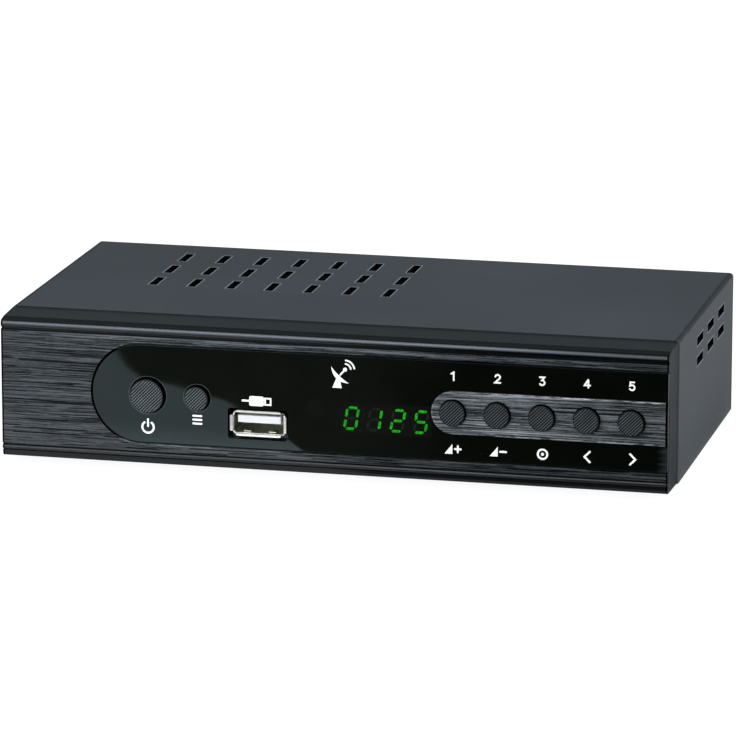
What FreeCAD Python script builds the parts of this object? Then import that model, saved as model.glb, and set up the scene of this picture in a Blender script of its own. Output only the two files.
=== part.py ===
import FreeCAD, Part
import os
import math
import Sketcher
import PartDesign
from FreeCAD import Vector, Rotation, Placement

# Satellite TV receiver: a small set-top box.
# Frame: +X to the right seen from the front, +Y to the rear (the front faces
# -Y), +Z up.  The origin is the middle of the bounding box at the plane the
# rubber feet stand on.  Millimetres throughout.
#
# Heights written Zc(...) are measured from the underside of the steel case,
# depths written Yc(...) from the front of the fascia's nose.

doc = FreeCAD.newDocument("SatelliteReceiver")
sheet = doc.addObject("Spreadsheet::Sheet", "Sheet")

CELLS = [
    # case
    ("case_width", 170.0, "outer width of the cover"),
    ("case_height", 36.1, "case underside to cover top"),
    ("case_depth", 91.0, "fascia nose to rear lip"),
    ("foot_height", 1.8, "feet under the case"),
    ("front_y", -50.1, "fascia nose in the frame"),
    ("steel", 0.8, "sheet steel thickness"),
    ("bend_out", 1.0, "outer bend radius of the cover"),
    ("bend_in", 0.4, "inner bend radius of the cover"),
    ("seam_y", 11.8, "depth of the fascia to the cover seam"),
    ("seam_gap", 0.1, "gap at the seam"),
    ("lip_height", 5.8, "rear lip of the cover"),
    # vents
    ("slot_len", 8.8, "vent slot length"),
    ("slot_wide", 1.8, "vent slot width"),
    ("slot_rim", 0.17, "pressed rim round a slot"),
    ("slot_rim_deep", 0.14, "depth of the rim"),
    ("top_slot_x", -57.08, "first column of top slots"),
    ("top_slot_step", 10.165, "column pitch of top slots"),
    ("top_slot_y", 47.35, "first row of top slots"),
    ("top_slot_row", 14.29, "row pitch of top slots"),
    ("side_slot_y", 41.24, "first side slot"),
    ("side_slot_step", 15.44, "side slot pitch"),
    ("side_slot_z", 30.1, "upper row of side slots"),
    ("side_slot_row", 5.13, "row pitch of side slots"),
    # fascia and lens
    ("fascia_inset", 0.3, "fascia inside the cover line at the seam"),
    ("face_y", 0.15, "flat of the fascia behind the nose"),
    ("row_z", 17.85, "height of the key row"),
    ("lens_mid", 18.2, "middle of the lens"),
    ("lens_r", 12.45, "half height of the lens"),
    ("lens_x", -48.4, "centre of the lens end"),
    ("lens_proud", 0.1, "lens proud of the flat"),
    ("lens_thick", 1.5, "recess depth for the lens"),
    ("lens_gap", 0.12, "gap round the lens"),
    ("plate_back", 3.15, "back of the fascia plate"),
    ("strip_r", 5.5, "half height of the key strip"),
    ("strip_proud", 0.25, "key strip forward of the nose"),
    ("strip_gap", 0.08, "gap round the strip"),
    ("right_end", 84.42, "right end of lens and strip"),
    # keys
    ("key_x", 30.95, "first key of the strip"),
    ("key_step", 11.13, "pitch of the strip keys"),
    ("key_r", 3.2, "strip key radius"),
    ("key_hole_r", 3.45, "strip key hole radius"),
    ("power_x", -46.6, "power key"),
    ("power_r", 4.25, "power key radius"),
    ("power_hole_r", 4.7, "power key hole radius"),
    ("menu_x", -33.93, "menu key"),
    ("menu_r", 3.05, "menu key radius"),
    ("menu_hole_r", 3.4, "menu key hole radius"),
    ("key_front", 1.5, "key faces forward of the nose"),
    ("key_flange_y", 3.4, "front of the retaining flange"),
    ("key_flange", 0.8, "flange thickness"),
    ("switch_tip", 4.6, "tip of the switch plunger"),
    ("switch_front", 5.2, "front of the switch body"),
    ("plunger_r", 1.6, "switch plunger radius"),
    ("plunger_hole_r", 1.85, "hole in the switch body"),
    # boards
    ("front_board_y", 8.6, "front of the key board"),
    ("board_thick", 1.6, "circuit board thickness"),
    ("main_z", 7.45, "underside of the main board"),
    ("main_front", 12.4, "front edge of the main board"),
    ("main_rear", 88.5, "rear edge of the main board"),
    ("main_half", 76.0, "half width of the main board"),
    # USB socket
    ("usb_x", -18.46, "USB socket"),
    ("usb_z", 11.95, "USB socket height"),
    # display
    ("disp_x", 14.2, "display module centre"),
    ("disp_z", 15.0, "display module centre height"),
    ("ir_x", -3.7, "infrared receiver"),
    ("ir_z", 17.0, "infrared receiver height"),
    # rear
    ("rear_wall_y", 90.1, "outer face of the rear wall"),
    ("lnb_x", 66.0, "LNB input"),
    ("loop_x", 48.0, "LNB loop output"),
    ("f_z", 16.5, "F connector height"),
    ("f_r", 4.76, "F connector thread radius, 3/8 inch"),
    ("f_tip", 101.7, "tip of the F connectors"),
    ("coax_x", 26.0, "coaxial audio socket"),
    ("coax_z", 14.65, "coaxial audio socket height"),
    ("hdmi_x", 3.0, "HDMI socket"),
    ("hdmi_z", 12.2, "HDMI socket height"),
    ("av_x", -20.0, "AV jack"),
    ("av_z", 12.75, "AV jack height"),
    ("dc_x", -64.0, "DC inlet"),
    ("dc_z", 15.4, "DC inlet height"),
]


class Q:
    """A number that remembers the sheet expression it comes from."""

    def __init__(self, value, text, bound=True):
        self.v = float(value)
        self.e = text
        self.bound = bound

    def __add__(self, o):
        o = q(o)
        return Q(self.v + o.v, "(%s + %s)" % (self.e, o.e), self.bound or o.bound)

    def __radd__(self, o):
        return q(o) + self

    def __sub__(self, o):
        o = q(o)
        return Q(self.v - o.v, "(%s - %s)" % (self.e, o.e), self.bound or o.bound)

    def __rsub__(self, o):
        return q(o) - self

    def __mul__(self, o):
        o = q(o)
        return Q(self.v * o.v, "(%s * %s)" % (self.e, o.e), self.bound or o.bound)

    __rmul__ = __mul__

    def __truediv__(self, o):
        o = q(o)
        return Q(self.v / o.v, "(%s / %s)" % (self.e, o.e), self.bound or o.bound)

    def __neg__(self):
        return Q(-self.v, "(0 - %s)" % self.e, self.bound)


def q(x):
    if isinstance(x, Q):
        return x
    x = float(x)
    text = "%.6f" % x if x >= 0 else "(%.6f)" % x
    return Q(x, text, False)


D = {}
for i, (name, value, note) in enumerate(CELLS):
    r = i + 1
    sheet.set("A%d" % r, name.replace("_", " "))
    sheet.set("B%d" % r, repr(value))
    sheet.set("C%d" % r, note)
    sheet.setAlias("B%d" % r, name)
    D[name] = Q(value, "Sheet." + name)
doc.recompute()


def Yc(y):
    return D["front_y"] + y


def Zc(z):
    return D["foot_height"] + z


def bind(obj, prop, x):
    x = q(x)
    if x.bound:
        obj.setExpression(prop, x.e)
    else:
        target = obj
        parts = prop.split(".")
        if len(parts) == 1:
            setattr(obj, prop, x.v)
        else:
            obj.setExpression(prop, x.e)


def place(obj, x=0, y=0, z=0, rot=None):
    if rot is not None:
        obj.Placement = Placement(Vector(0, 0, 0), rot)
    for axis, val in (("x", x), ("y", y), ("z", z)):
        obj.setExpression("Placement.Base." + axis, q(val).e)


TO_Y = Rotation(Vector(1, 0, 0), -90)      # a +Z axis turned to +Y

# ---------------------------------------------------------------- sketching


def body(label):
    b = doc.addObject("PartDesign::Body", "B_" + label)
    b.Label = label
    return b


def plane(b, role):
    for f in b.Origin.OriginFeatures:
        if f.Role == role:
            return f
    raise RuntimeError("no plane " + role)


def sketch(b, role, off=0):
    s = b.newObject("Sketcher::SketchObject", b.Name + "_S")
    s.AttachmentSupport = [(plane(b, role), "")]
    s.MapMode = "FlatFace"
    o = q(off)
    # the normal of the XZ plane is -Y
    if role == "XZ_Plane":
        o = -o
    s.AttachmentOffset = Placement(Vector(0, 0, o.v), Rotation())
    s.setExpression("AttachmentOffset.Base.z", o.e)
    return s


def pin_point(s, cons, exprs, geo, pos, x, y):
    x, y = q(x), q(y)
    for kind, val in (("DistanceX", x), ("DistanceY", y)):
        cons.append(Sketcher.Constraint(kind, -1, 1, geo, pos, val.v))
        exprs.append(val)


def path(s, verts):
    """Closed outline.  verts: (x, y) or (x, y, (cx, cy, ccw)) where the
    centre belongs to an arc that runs on to the next vertex."""
    n = len(verts)
    geo = []
    flips = []
    for i in range(n):
        a = verts[i]
        b = verts[(i + 1) % n]
        A = Vector(q(a[0]).v, q(a[1]).v, 0)
        B = Vector(q(b[0]).v, q(b[1]).v, 0)
        if len(a) == 3:
            cx, cy, ccw = a[2]
            C = Vector(q(cx).v, q(cy).v, 0)
            r = (A - C).Length
            st, en = (A, B) if ccw else (B, A)
            a0 = math.atan2(st.y - C.y, st.x - C.x)
            a1 = math.atan2(en.y - C.y, en.x - C.x)
            if a1 <= a0:
                a1 += 2 * math.pi
            geo.append(Part.ArcOfCircle(Part.Circle(C, Vector(0, 0, 1), r), a0, a1))
            flips.append(not ccw)
        else:
            geo.append(Part.LineSegment(A, B))
            flips.append(False)
    base = s.GeometryCount
    s.addGeometry(geo, False)
    cons, exprs = [], []
    for i in range(n):
        j = (i + 1) % n
        e_i = 1 if flips[i] else 2
        s_j = 2 if flips[j] else 1
        cons.append(Sketcher.Constraint("Coincident", base + i, e_i, base + j, s_j))
        exprs.append(None)
    for i, a in enumerate(verts):
        pos = 2 if flips[i] else 1
        pin_point(s, cons, exprs, base + i, pos, a[0], a[1])
        if len(a) == 3:
            b = verts[(i + 1) % n]
            cx, cy = q(a[2][0]), q(a[2][1])
            if abs(q(a[0]).v - q(b[0]).v) < abs(q(a[1]).v - q(b[1]).v):
                cons.append(Sketcher.Constraint("DistanceX", -1, 1, base + i, 3, cx.v))
                exprs.append(cx)
            else:
                cons.append(Sketcher.Constraint("DistanceY", -1, 1, base + i, 3, cy.v))
                exprs.append(cy)
    add(s, cons, exprs)


def add(s, cons, exprs):
    first = s.ConstraintCount
    s.addConstraint(cons)
    for k, e in enumerate(exprs):
        if e is not None and e.bound:
            s.setExpression("Constraints[%d]" % (first + k), e.e)


def rect(s, x0, y0, x1, y1):
    path(s, [(x0, y0), (x1, y0), (x1, y1), (x0, y1)])


def circle(s, cx, cy, r):
    cx, cy, r = q(cx), q(cy), q(r)
    base = s.GeometryCount
    s.addGeometry([Part.Circle(Vector(cx.v, cy.v, 0), Vector(0, 0, 1), r.v)], False)
    cons, exprs = [], []
    pin_point(s, cons, exprs, base, 3, cx, cy)
    cons.append(Sketcher.Constraint("Radius", base, r.v))
    exprs.append(r)
    add(s, cons, exprs)


def pad(b, s, length, rev=False, mid=False):
    f = b.newObject("PartDesign::Pad", b.Name + "_Pad")
    f.Profile = s
    bind(f, "Length", length)
    f.Reversed = rev
    if mid:
        f.Midplane = True
    doc.recompute()
    return f


def pocket(b, s, length=None, rev=False, taper=0.0):
    before = b.Shape.Volume
    f = b.newObject("PartDesign::Pocket", b.Name + "_Pocket")
    f.Profile = s
    if length is None:
        f.Type = "ThroughAll"
    else:
        bind(f, "Length", length)
    f.Reversed = rev
    if taper:
        f.TaperAngle = taper
    doc.recompute()
    after = b.Shape.Volume
    if not after < before - 1e-6:
        raise RuntimeError("%s: a pocket cut nothing (%.4f, %.4f)" % (b.Label, before, after))
    return f


def revolve(b, s, axis="H_Axis"):
    f = b.newObject("PartDesign::Revolution", b.Name + "_Rev")
    f.Profile = s
    f.ReferenceAxis = (s, [axis])
    f.Angle = 360.0
    doc.recompute()
    return f


def edges(b, test):
    """Names of the body's present edges whose ends and middle pass test."""
    out = []
    for i, e in enumerate(b.Shape.Edges):
        try:
            m = e.valueAt((e.FirstParameter + e.LastParameter) / 2.0)
            pts = [v.Point for v in e.Vertexes] + [m]
        except Exception:
            continue
        if all(test(p) for p in pts):
            out.append("Edge%d" % (i + 1))
    return out


def fillet(b, r, test, kind="PartDesign::Fillet"):
    names = edges(b, test)
    if not names:
        raise RuntimeError("%s: no edge to round" % b.Label)
    tip = b.Tip
    f = b.newObject(kind, b.Name + "_F")
    f.Base = (tip, names)
    bind(f, "Radius" if kind.endswith("Fillet") else "Size", r)
    doc.recompute()
    if "Invalid" in f.State:
        raise RuntimeError("%s: rounding failed on %s" % (b.Label, names))
    return f


def near(a, b, tol=0.01):
    return abs(a - q(b).v) < tol


# ------------------------------------------------------------ Part helpers

temp = [0]


def tname(t):
    temp[0] += 1
    return "%s_%03d" % (t, temp[0])


def box(x0, y0, z0, x1, y1, z1, label=None):
    b = doc.addObject("Part::Box", tname("Box"))
    bind(b, "Length", q(x1) - q(x0))
    bind(b, "Width", q(y1) - q(y0))
    bind(b, "Height", q(z1) - q(z0))
    place(b, x0, y0, z0)
    if label:
        b.Label = label
    return b


def cyl_y(x, y0, z, r, length, label=None):
    c = doc.addObject("Part::Cylinder", tname("Cyl"))
    bind(c, "Radius", r)
    bind(c, "Height", length)
    place(c, x, y0, z, TO_Y)
    if label:
        c.Label = label
    return c


def cyl_z(x, y, z0, r, height, label=None):
    c = doc.addObject("Part::Cylinder", tname("Cyl"))
    bind(c, "Radius", r)
    bind(c, "Height", height)
    place(c, x, y, z0)
    if label:
        c.Label = label
    return c


def fuse(items, label=None):
    if len(items) == 1:
        f = items[0]
    else:
        f = doc.addObject("Part::MultiFuse", tname("Fuse"))
        f.Shapes = items
    if label:
        f.Label = label
    return f


def cut(base, tools, label=None):
    f = doc.addObject("Part::Cut", tname("Cut"))
    f.Base = base
    f.Tool = fuse(tools) if isinstance(tools, list) else tools
    if label:
        f.Label = label
    return f


def soften(obj, r, test, label, kind="Part::Fillet"):
    """Round or chamfer the chosen edges of a Part object."""
    doc.recompute()
    picked = []
    for i, e in enumerate(obj.Shape.Edges):
        pts = [v.Point for v in e.Vertexes]
        pts.append(e.valueAt((e.FirstParameter + e.LastParameter) / 2.0))
        if all(test(p) for p in pts):
            picked.append((i + 1, r, r))
    if not picked:
        raise RuntimeError(label + ": no edge to soften")
    f = doc.addObject(kind, tname("Soft"))
    f.Base = obj
    f.Edges = picked
    f.Label = label
    doc.recompute()
    return f


# =========================================================== 1 top cover
half_w = D["case_width"] / 2
cov = body("top_cover")
s = sketch(cov, "XZ_Plane", Yc(D["case_depth"]))
top_o = Zc(D["case_height"])
top_i = Zc(D["case_height"] - D["steel"])
in_w = half_w - D["steel"]
path(s, [(-half_w, Zc(0)), (-in_w, Zc(0)), (-in_w, top_i), (in_w, top_i),
         (in_w, Zc(0)), (half_w, Zc(0)), (half_w, top_o), (-half_w, top_o)])
pad(cov, s, D["case_depth"] - D["seam_y"] - D["seam_gap"])
# rear lip folded down over the rear wall
s = sketch(cov, "XZ_Plane", Yc(D["case_depth"]))
rect(s, -in_w + 0.15, Zc(D["case_height"] - D["lip_height"]), in_w - 0.15, Zc(D["case_height"] - 0.4))
pad(cov, s, D["steel"])
y_rear = Yc(D["case_depth"])
fillet(cov, D["bend_out"], lambda p: near(abs(p.x), half_w) and near(p.z, top_o))
fillet(cov, D["bend_in"], lambda p: near(abs(p.x), in_w) and near(p.z, top_i))
fillet(cov, 0.6, lambda p: near(p.y, y_rear) and near(p.z, top_o) and abs(p.x) < half_w.v - 0.9)
# top vents: three slots in a sketch, repeated in seven columns
hl, hwid, rim = D["slot_len"] / 2, D["slot_wide"] / 2, D["slot_rim"]


def top_slots(grow):
    s = sketch(cov, "XY_Plane", top_o)
    for j in range(3):
        yc = Yc(D["top_slot_y"] + D["top_slot_row"] * j)
        xc = D["top_slot_x"]
        rect(s, xc - hwid - grow, yc - hl - grow, xc + hwid + grow, yc + hl + grow)
    return s


f1 = pocket(cov, top_slots(0), D["steel"] + 0.2)
f2 = pocket(cov, top_slots(rim), D["slot_rim_deep"])
pat = cov.newObject("PartDesign::LinearPattern", "TopVents")
pat.Originals = [f1, f2]
pat.Direction = (plane(cov, "X_Axis"), [""])
pat.setExpression("Length", (D["top_slot_step"] * 6).e)
pat.Occurrences = 7
cov.Tip = pat
doc.recompute()
vol_pat = cov.Shape.Volume
one = f1.Shape.Volume
print("cover volume after the vent pattern %.1f (one column %.1f)" % (vol_pat, one))


def side_slots(off, grow):
    s = sketch(cov, "YZ_Plane", off)
    for j in range(2):
        for i in range(3):
            yc = Yc(D["side_slot_y"] + D["side_slot_step"] * i)
            zc = Zc(D["side_slot_z"] - D["side_slot_row"] * j)
            rect(s, yc - hl - grow, zc - hwid - 0.05 - grow, yc + hl + grow, zc + hwid + 0.05 + grow)
    return s


pocket(cov, side_slots(half_w, 0))
pocket(cov, side_slots(half_w, rim), D["slot_rim_deep"])
pocket(cov, side_slots(-half_w, rim), D["slot_rim_deep"], rev=True)
# screw holes in the rear lip
SCREW_X = [-72.0, 0.0, 72.0]
lip_z = Zc(D["case_height"] - 3.4)
s = sketch(cov, "XZ_Plane", y_rear)
for x in SCREW_X:
    circle(s, x, lip_z, 1.65)
pocket(cov, s, D["steel"] + 0.1, rev=True)

# ========================================================== 2 bottom tray
tray = body("bottom_tray")
tw = half_w - D["steel"] - 0.1
s = sketch(tray, "XZ_Plane", Yc(D["rear_wall_y"]))
ti = tw - D["steel"]
path(s, [(-tw, Zc(0)), (tw, Zc(0)), (tw, Zc(9)), (ti, Zc(9)), (ti, Zc(D["steel"])),
         (-ti, Zc(D["steel"])), (-ti, Zc(9)), (-tw, Zc(9))])
pad(tray, s, D["rear_wall_y"] - 12.2)
s = sketch(tray, "XZ_Plane", Yc(D["rear_wall_y"]))
rect(s, -tw, Zc(0), tw, Zc(D["case_height"] - D["steel"] - 0.15))
pad(tray, s, D["steel"])
s = sketch(tray, "XZ_Plane", Yc(13.0))
rect(s, -52, Zc(0), 52, Zc(6))
pad(tray, s, D["steel"])
fillet(tray, 0.7, lambda p: near(abs(p.x), tw) and near(p.z, Zc(0)))
# openings in the rear wall
s = sketch(tray, "XZ_Plane", Yc(D["rear_wall_y"]))
circle(s, D["lnb_x"], Zc(D["f_z"]), D["f_r"] + 0.25)
circle(s, D["loop_x"], Zc(D["f_z"]), D["f_r"] + 0.25)
circle(s, D["coax_x"], Zc(D["coax_z"]), 5.2)
rect(s, D["hdmi_x"] - 7.8, Zc(D["hdmi_z"] - 3.1), D["hdmi_x"] + 7.8, Zc(D["hdmi_z"] + 3.1))
circle(s, D["av_x"], Zc(D["av_z"]), 3.15)
rect(s, D["dc_x"] - 4.7, Zc(D["dc_z"] - 6.55), D["dc_x"] + 4.7, Zc(D["dc_z"] + 5.2))
for x in SCREW_X:
    circle(s, x, lip_z, 1.25)
pocket(tray, s, D["steel"] + 0.1, rev=True)
# slots in the base for the fascia's snap hooks
s = sketch(tray, "XY_Plane", Zc(D["steel"]))
for x in (-62.0, 62.0):
    rect(s, x - 4.5, Yc(14.9), x + 4.5, Yc(17.6))
pocket(tray, s, D["steel"] + 0.1)

# ======================================================== 3 front fascia
fas = body("front_fascia")
fw = half_w - D["fascia_inset"]
s = sketch(fas, "YZ_Plane", 0)
fy = D["face_y"]
path(s, [
    (Yc(D["seam_y"]), Zc(0.12)),
    (Yc(D["seam_y"]), Zc(D["case_height"] - D["fascia_inset"])),
    (Yc(3.0), Zc(35.468)),
    (Yc(0.8264), Zc(35.0848), (Yc(1.0), Zc(34.1), True)),
    (Yc(0.4), Zc(33.3)),
    (Yc(0.8), Zc(33.2)),
    (Yc(0.9), Zc(33.05)),
    (Yc(0.9), Zc(32.85)),
    (Yc(fy), Zc(32.6)),
    (Yc(fy), Zc(3.5)),
    (Yc(0.85), Zc(3.35)),
    (Yc(0.85), Zc(3.15)),
    (Yc(0.5), Zc(3.095), (Yc(0.75), Zc(2.55), True)),
    (Yc(0.5), Zc(2.005)),
    (Yc(0.9), Zc(1.95)),
    (Yc(0.9), Zc(1.8)),
    (Yc(0.5), Zc(1.7)),
    (Yc(0.5), Zc(1.0)),
    (Yc(0.95), Zc(0.22)),
])
pad(fas, s, fw * 2, mid=True)
# the ends draw in slightly towards the front
s = sketch(fas, "XY_Plane", Zc(40))
for sg in (1, -1):
    path(s, [(sg * (fw - 0.26), Yc(-1)), (sg * (fw + 3), Yc(-1)),
             (sg * (fw + 3), Yc(D["seam_y"])), (sg * fw, Yc(D["seam_y"]))])
pocket(fas, s)
# hollow back
s = sketch(fas, "XZ_Plane", Yc(D["seam_y"]))
rect(s, -82.4, Zc(2.4), 82.4, Zc(33.6))
pocket(fas, s, D["seam_y"] - D["plate_back"], rev=True)
# recess for the lens, open at the right-hand end
lz = D["row_z"]
lm = D["lens_mid"]
lr = D["lens_r"] + D["lens_gap"]
s = sketch(fas, "XZ_Plane", Yc(-1))
path(s, [(D["lens_x"], Zc(lm + lr), (D["lens_x"], Zc(lm), True)),
         (D["lens_x"], Zc(lm - lr)), (87, Zc(lm - lr)), (87, Zc(lm + lr))])
pocket(fas, s, q(1) + fy + D["lens_thick"])
KEYS = [("power", D["power_x"], D["power_r"], D["power_hole_r"]),
        ("menu", D["menu_x"], D["menu_r"], D["menu_hole_r"])]
for i, n in enumerate(("plus", "minus", "ok", "left", "right")):
    KEYS.append((n, D["key_x"] + D["key_step"] * i, D["key_r"], D["key_hole_r"]))
kz = Zc(lz)


def rounded(s, x0, y0, x1, y1, r):
    x0, y0, x1, y1 = q(x0), q(y0), q(x1), q(y1)
    path(s, [(x0 + r, y0), (x1 - r, y0, (x1 - r, y0 + r, True)),
             (x1, y0 + r), (x1, y1 - r, (x1 - r, y1 - r, True)),
             (x1 - r, y1), (x0 + r, y1, (x0 + r, y1 - r, True)),
             (x0, y1 - r), (x0, y0 + r, (x0 + r, y0 + r, True))])


def usb_window(s, grow=0.0):
    rounded(s, D["usb_x"] - 7.65 - grow, Zc(D["usb_z"] - 3.93 - grow),
            D["usb_x"] + 7.65 + grow, Zc(D["usb_z"] + 3.93 + grow), 0.8 + grow)


# windows and key holes through the plate
s = sketch(fas, "XZ_Plane", Yc(0))
for n, x, r, hr in KEYS:
    circle(s, x, kz, hr)
usb_window(s)
rect(s, D["disp_x"] - 11.5, Zc(D["disp_z"] - 3.9), D["disp_x"] + 11.5, Zc(D["disp_z"] + 3.9))
circle(s, D["ir_x"], Zc(D["ir_z"]), 2.4)
pocket(fas, s, D["plate_back"] + 0.05)
# ledge that tucks under the cover
s = sketch(fas, "XZ_Plane", Yc(D["seam_y"] - 0.4))
path(s, [(-83.9, Zc(10)), (-82.3, Zc(10)), (-82.3, Zc(33.5)), (82.3, Zc(33.5)), (82.3, Zc(10)),
         (83.9, Zc(10)), (83.9, Zc(35.0)), (-83.9, Zc(35.0))])
pad(fas, s, 2.4, rev=True)
# snap tabs with hooks, low down at both ends
s = sketch(fas, "XZ_Plane", Yc(D["seam_y"] - 0.5))
for x in (-62.0, 62.0):
    rect(s, x - 4, Zc(1.0), x + 4, Zc(2.3))
pad(fas, s, 6.0, rev=True)
s = sketch(fas, "XZ_Plane", Yc(15.2))
for x in (-62.0, 62.0):
    rect(s, x - 4, Zc(0.25), x + 4, Zc(1.1))
pad(fas, s, 2.0, rev=True)
# bosses for the key board
BOSS = [(-54.5, 28.0), (79.0, 28.0), (-38.5, 7.2), (48.0, 7.2)]
s = sketch(fas, "XZ_Plane", Yc(3.0))
for x, z in BOSS:
    circle(s, x, Zc(z), 2.3)
pad(fas, s, D["front_board_y"] - 3.0, rev=True)
s = sketch(fas, "XZ_Plane", Yc(D["front_board_y"]))
for x, z in BOSS:
    circle(s, x, Zc(z), 1.0)
pocket(fas, s, 4.6, rev=True)

# ======================================================== 4 display lens
lens = body("display_lens")
s = sketch(lens, "XZ_Plane", Yc(fy - D["lens_proud"]))
r0 = D["lens_r"]
path(s, [(D["lens_x"], Zc(lm + r0), (D["lens_x"], Zc(lm), True)),
         (D["lens_x"], Zc(lm - r0)), (D["right_end"], Zc(lm - r0)), (D["right_end"], Zc(lm + r0))])
pad(lens, s, D["lens_thick"] + D["lens_proud"], rev=True)
y_lens = Yc(fy - D["lens_proud"])
fillet(lens, 0.15, lambda p: near(p.y, y_lens) and p.x < D["right_end"].v - 0.01 or
       (near(p.y, y_lens) and (near(p.z, Zc(lm + r0)) or near(p.z, Zc(lm - r0)))))
s = sketch(lens, "XZ_Plane", Yc(-1))
sr = D["strip_r"] + D["strip_gap"]
path(s, [(D["key_x"], Zc(lz + sr), (D["key_x"], Zc(lz), True)),
         (D["key_x"], Zc(lz - sr)), (87, Zc(lz - sr)), (87, Zc(lz + sr))])
pocket(lens, s, 4)
s = sketch(lens, "XZ_Plane", Yc(-1))
circle(s, D["power_x"], kz, D["power_hole_r"])
circle(s, D["menu_x"], kz, D["menu_hole_r"])
usb_window(s)
pocket(lens, s, 4)
fillet(lens, 0.12, lambda p: near(p.y, y_lens) and (
    near(math.hypot(p.x - D["power_x"].v, p.z - kz.v), D["power_hole_r"]) or
    near(math.hypot(p.x - D["menu_x"].v, p.z - kz.v), D["menu_hole_r"])))

# ================================================== 5 button trim strip
strip = body("button_trim_strip")
s = sketch(strip, "XZ_Plane", Yc(-D["strip_proud"]))
sr = D["strip_r"]
path(s, [(D["key_x"], Zc(lz + sr), (D["key_x"], Zc(lz), True)),
         (D["key_x"], Zc(lz - sr)), (D["right_end"], Zc(lz - sr)), (D["right_end"], Zc(lz + sr))])
pad(strip, s, D["strip_proud"] + fy + D["lens_thick"], rev=True)
y_strip = Yc(-D["strip_proud"])
fillet(strip, 0.25, lambda p: near(p.y, y_strip) and (p.x < D["right_end"].v - 0.01 or
       near(p.z, Zc(lz + sr)) or near(p.z, Zc(lz - sr))))
s = sketch(strip, "XZ_Plane", Yc(-1))
for n, x, r, hr in KEYS[2:]:
    circle(s, x, kz, hr)
pocket(strip, s, 4)

# ============================================= 6 keys and switch plungers
for n, x, r, hr in KEYS:
    k = body(n + "_key")
    s = sketch(k, "YZ_Plane", 0)
    kf = -D["key_front"]
    e = 0.35
    fr = r + 0.95 if n != "power" else r + 1.2
    path(s, [(kf, 0), (D["switch_tip"], 0), (D["switch_tip"], 1.5),
             (D["key_flange_y"] + D["key_flange"], 1.5),
             (D["key_flange_y"] + D["key_flange"], fr),
             (D["key_flange_y"], fr), (D["key_flange_y"], r),
             (kf + e, r, (kf + e, r - e, True)), (kf, r - e)])
    revolve(k, s)
    place(k, x, D["front_y"], kz)
    p = body(n + "_switch_plunger")
    s = sketch(p, "YZ_Plane", 0)
    pr = D["plunger_r"]
    path(s, [(D["switch_tip"], 0), (6.7, 0), (6.7, pr), (D["switch_tip"] + 0.2, pr), (D["switch_tip"], pr - 0.2)])
    revolve(p, s)
    place(p, x, D["front_y"], kz)

# =============================================== 7 switch bodies (seven)
sw = body("switch_bodies")
s = sketch(sw, "XZ_Plane", Yc(D["switch_front"]))
for n, x, r, hr in KEYS:
    rect(s, x - 3, kz - 3, x + 3, kz + 3)
pad(sw, s, D["front_board_y"] - D["switch_front"], rev=True)
s = sketch(sw, "XZ_Plane", Yc(D["switch_front"]))
for n, x, r, hr in KEYS:
    circle(s, x, kz, D["plunger_hole_r"])
pocket(sw, s, 2.25)

# ======================================================== 8 front board
fb = body("front_board")
s = sketch(fb, "XZ_Plane", Yc(D["front_board_y"]))
path(s, [(-58.5, Zc(4.6)), (D["usb_x"] - 8.6, Zc(4.6)), (D["usb_x"] - 8.6, Zc(16.4)),
         (D["usb_x"] + 8.6, Zc(16.4)), (D["usb_x"] + 8.6, Zc(4.6)), (82.0, Zc(4.6)),
         (82.0, Zc(31.5)), (-58.5, Zc(31.5))])
pad(fb, s, D["board_thick"], rev=True)
s = sketch(fb, "XZ_Plane", Yc(D["front_board_y"]))
for x, z in BOSS:
    circle(s, x, Zc(z), 1.0)
pocket(fb, s, D["board_thick"] + 0.1)

# screws that hold the key board to the fascia
items = []
for x, z in BOSS:
    items.append(cyl_y(x, Yc(4.6), Zc(z), 1.0, D["front_board_y"] + D["board_thick"] - 4.6))
    items.append(cyl_y(x, Yc(D["front_board_y"] + D["board_thick"]), Zc(z), 2.0, 1.3))
fuse(items, "front_board_screws")

# ============================================== 9 display and infrared
dm = body("display_module")
s = sketch(dm, "XZ_Plane", Yc(3.35))
rect(s, D["disp_x"] - 12.2, Zc(D["disp_z"] - 4.8), D["disp_x"] + 12.2, Zc(D["disp_z"] + 4.8))
pad(dm, s, D["front_board_y"] - 3.35, rev=True)
fillet(dm, 0.3, lambda p: near(p.y, Yc(3.35)))
ir = fuse([box(D["ir_x"] - 2.6, Yc(5.2), Zc(D["ir_z"] - 3.4), D["ir_x"] + 2.6, Yc(D["front_board_y"]), Zc(D["ir_z"] + 2.8)),
           cyl_y(D["ir_x"], Yc(4.3), Zc(D["ir_z"]), 2.0, 1.2)])
soften(ir, 0.7, lambda p: near(p.y, Yc(4.3)), "infrared_receiver")

# ====================================================== 10 USB socket
ux, uz = D["usb_x"], D["usb_z"]
# flared mouth: two nested wedges, then the tube behind it


def wedge_y(x, z, y0, y1, w0, h0, w1, h1, name):
    """Frustum along +Y: half sizes w0,h0 at y0 and w1,h1 at y1."""
    w = doc.addObject("Part::Wedge", tname(name))
    w.Xmin, w.Xmax, w.Zmin, w.Zmax = -w0, w0, -h0, h0
    w.X2min, w.X2max, w.Z2min, w.Z2max = -w1, w1, -h1, h1
    w.Ymin, w.Ymax = 0, (q(y1) - q(y0)).v
    place(w, x, y0, z)
    return w


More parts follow.
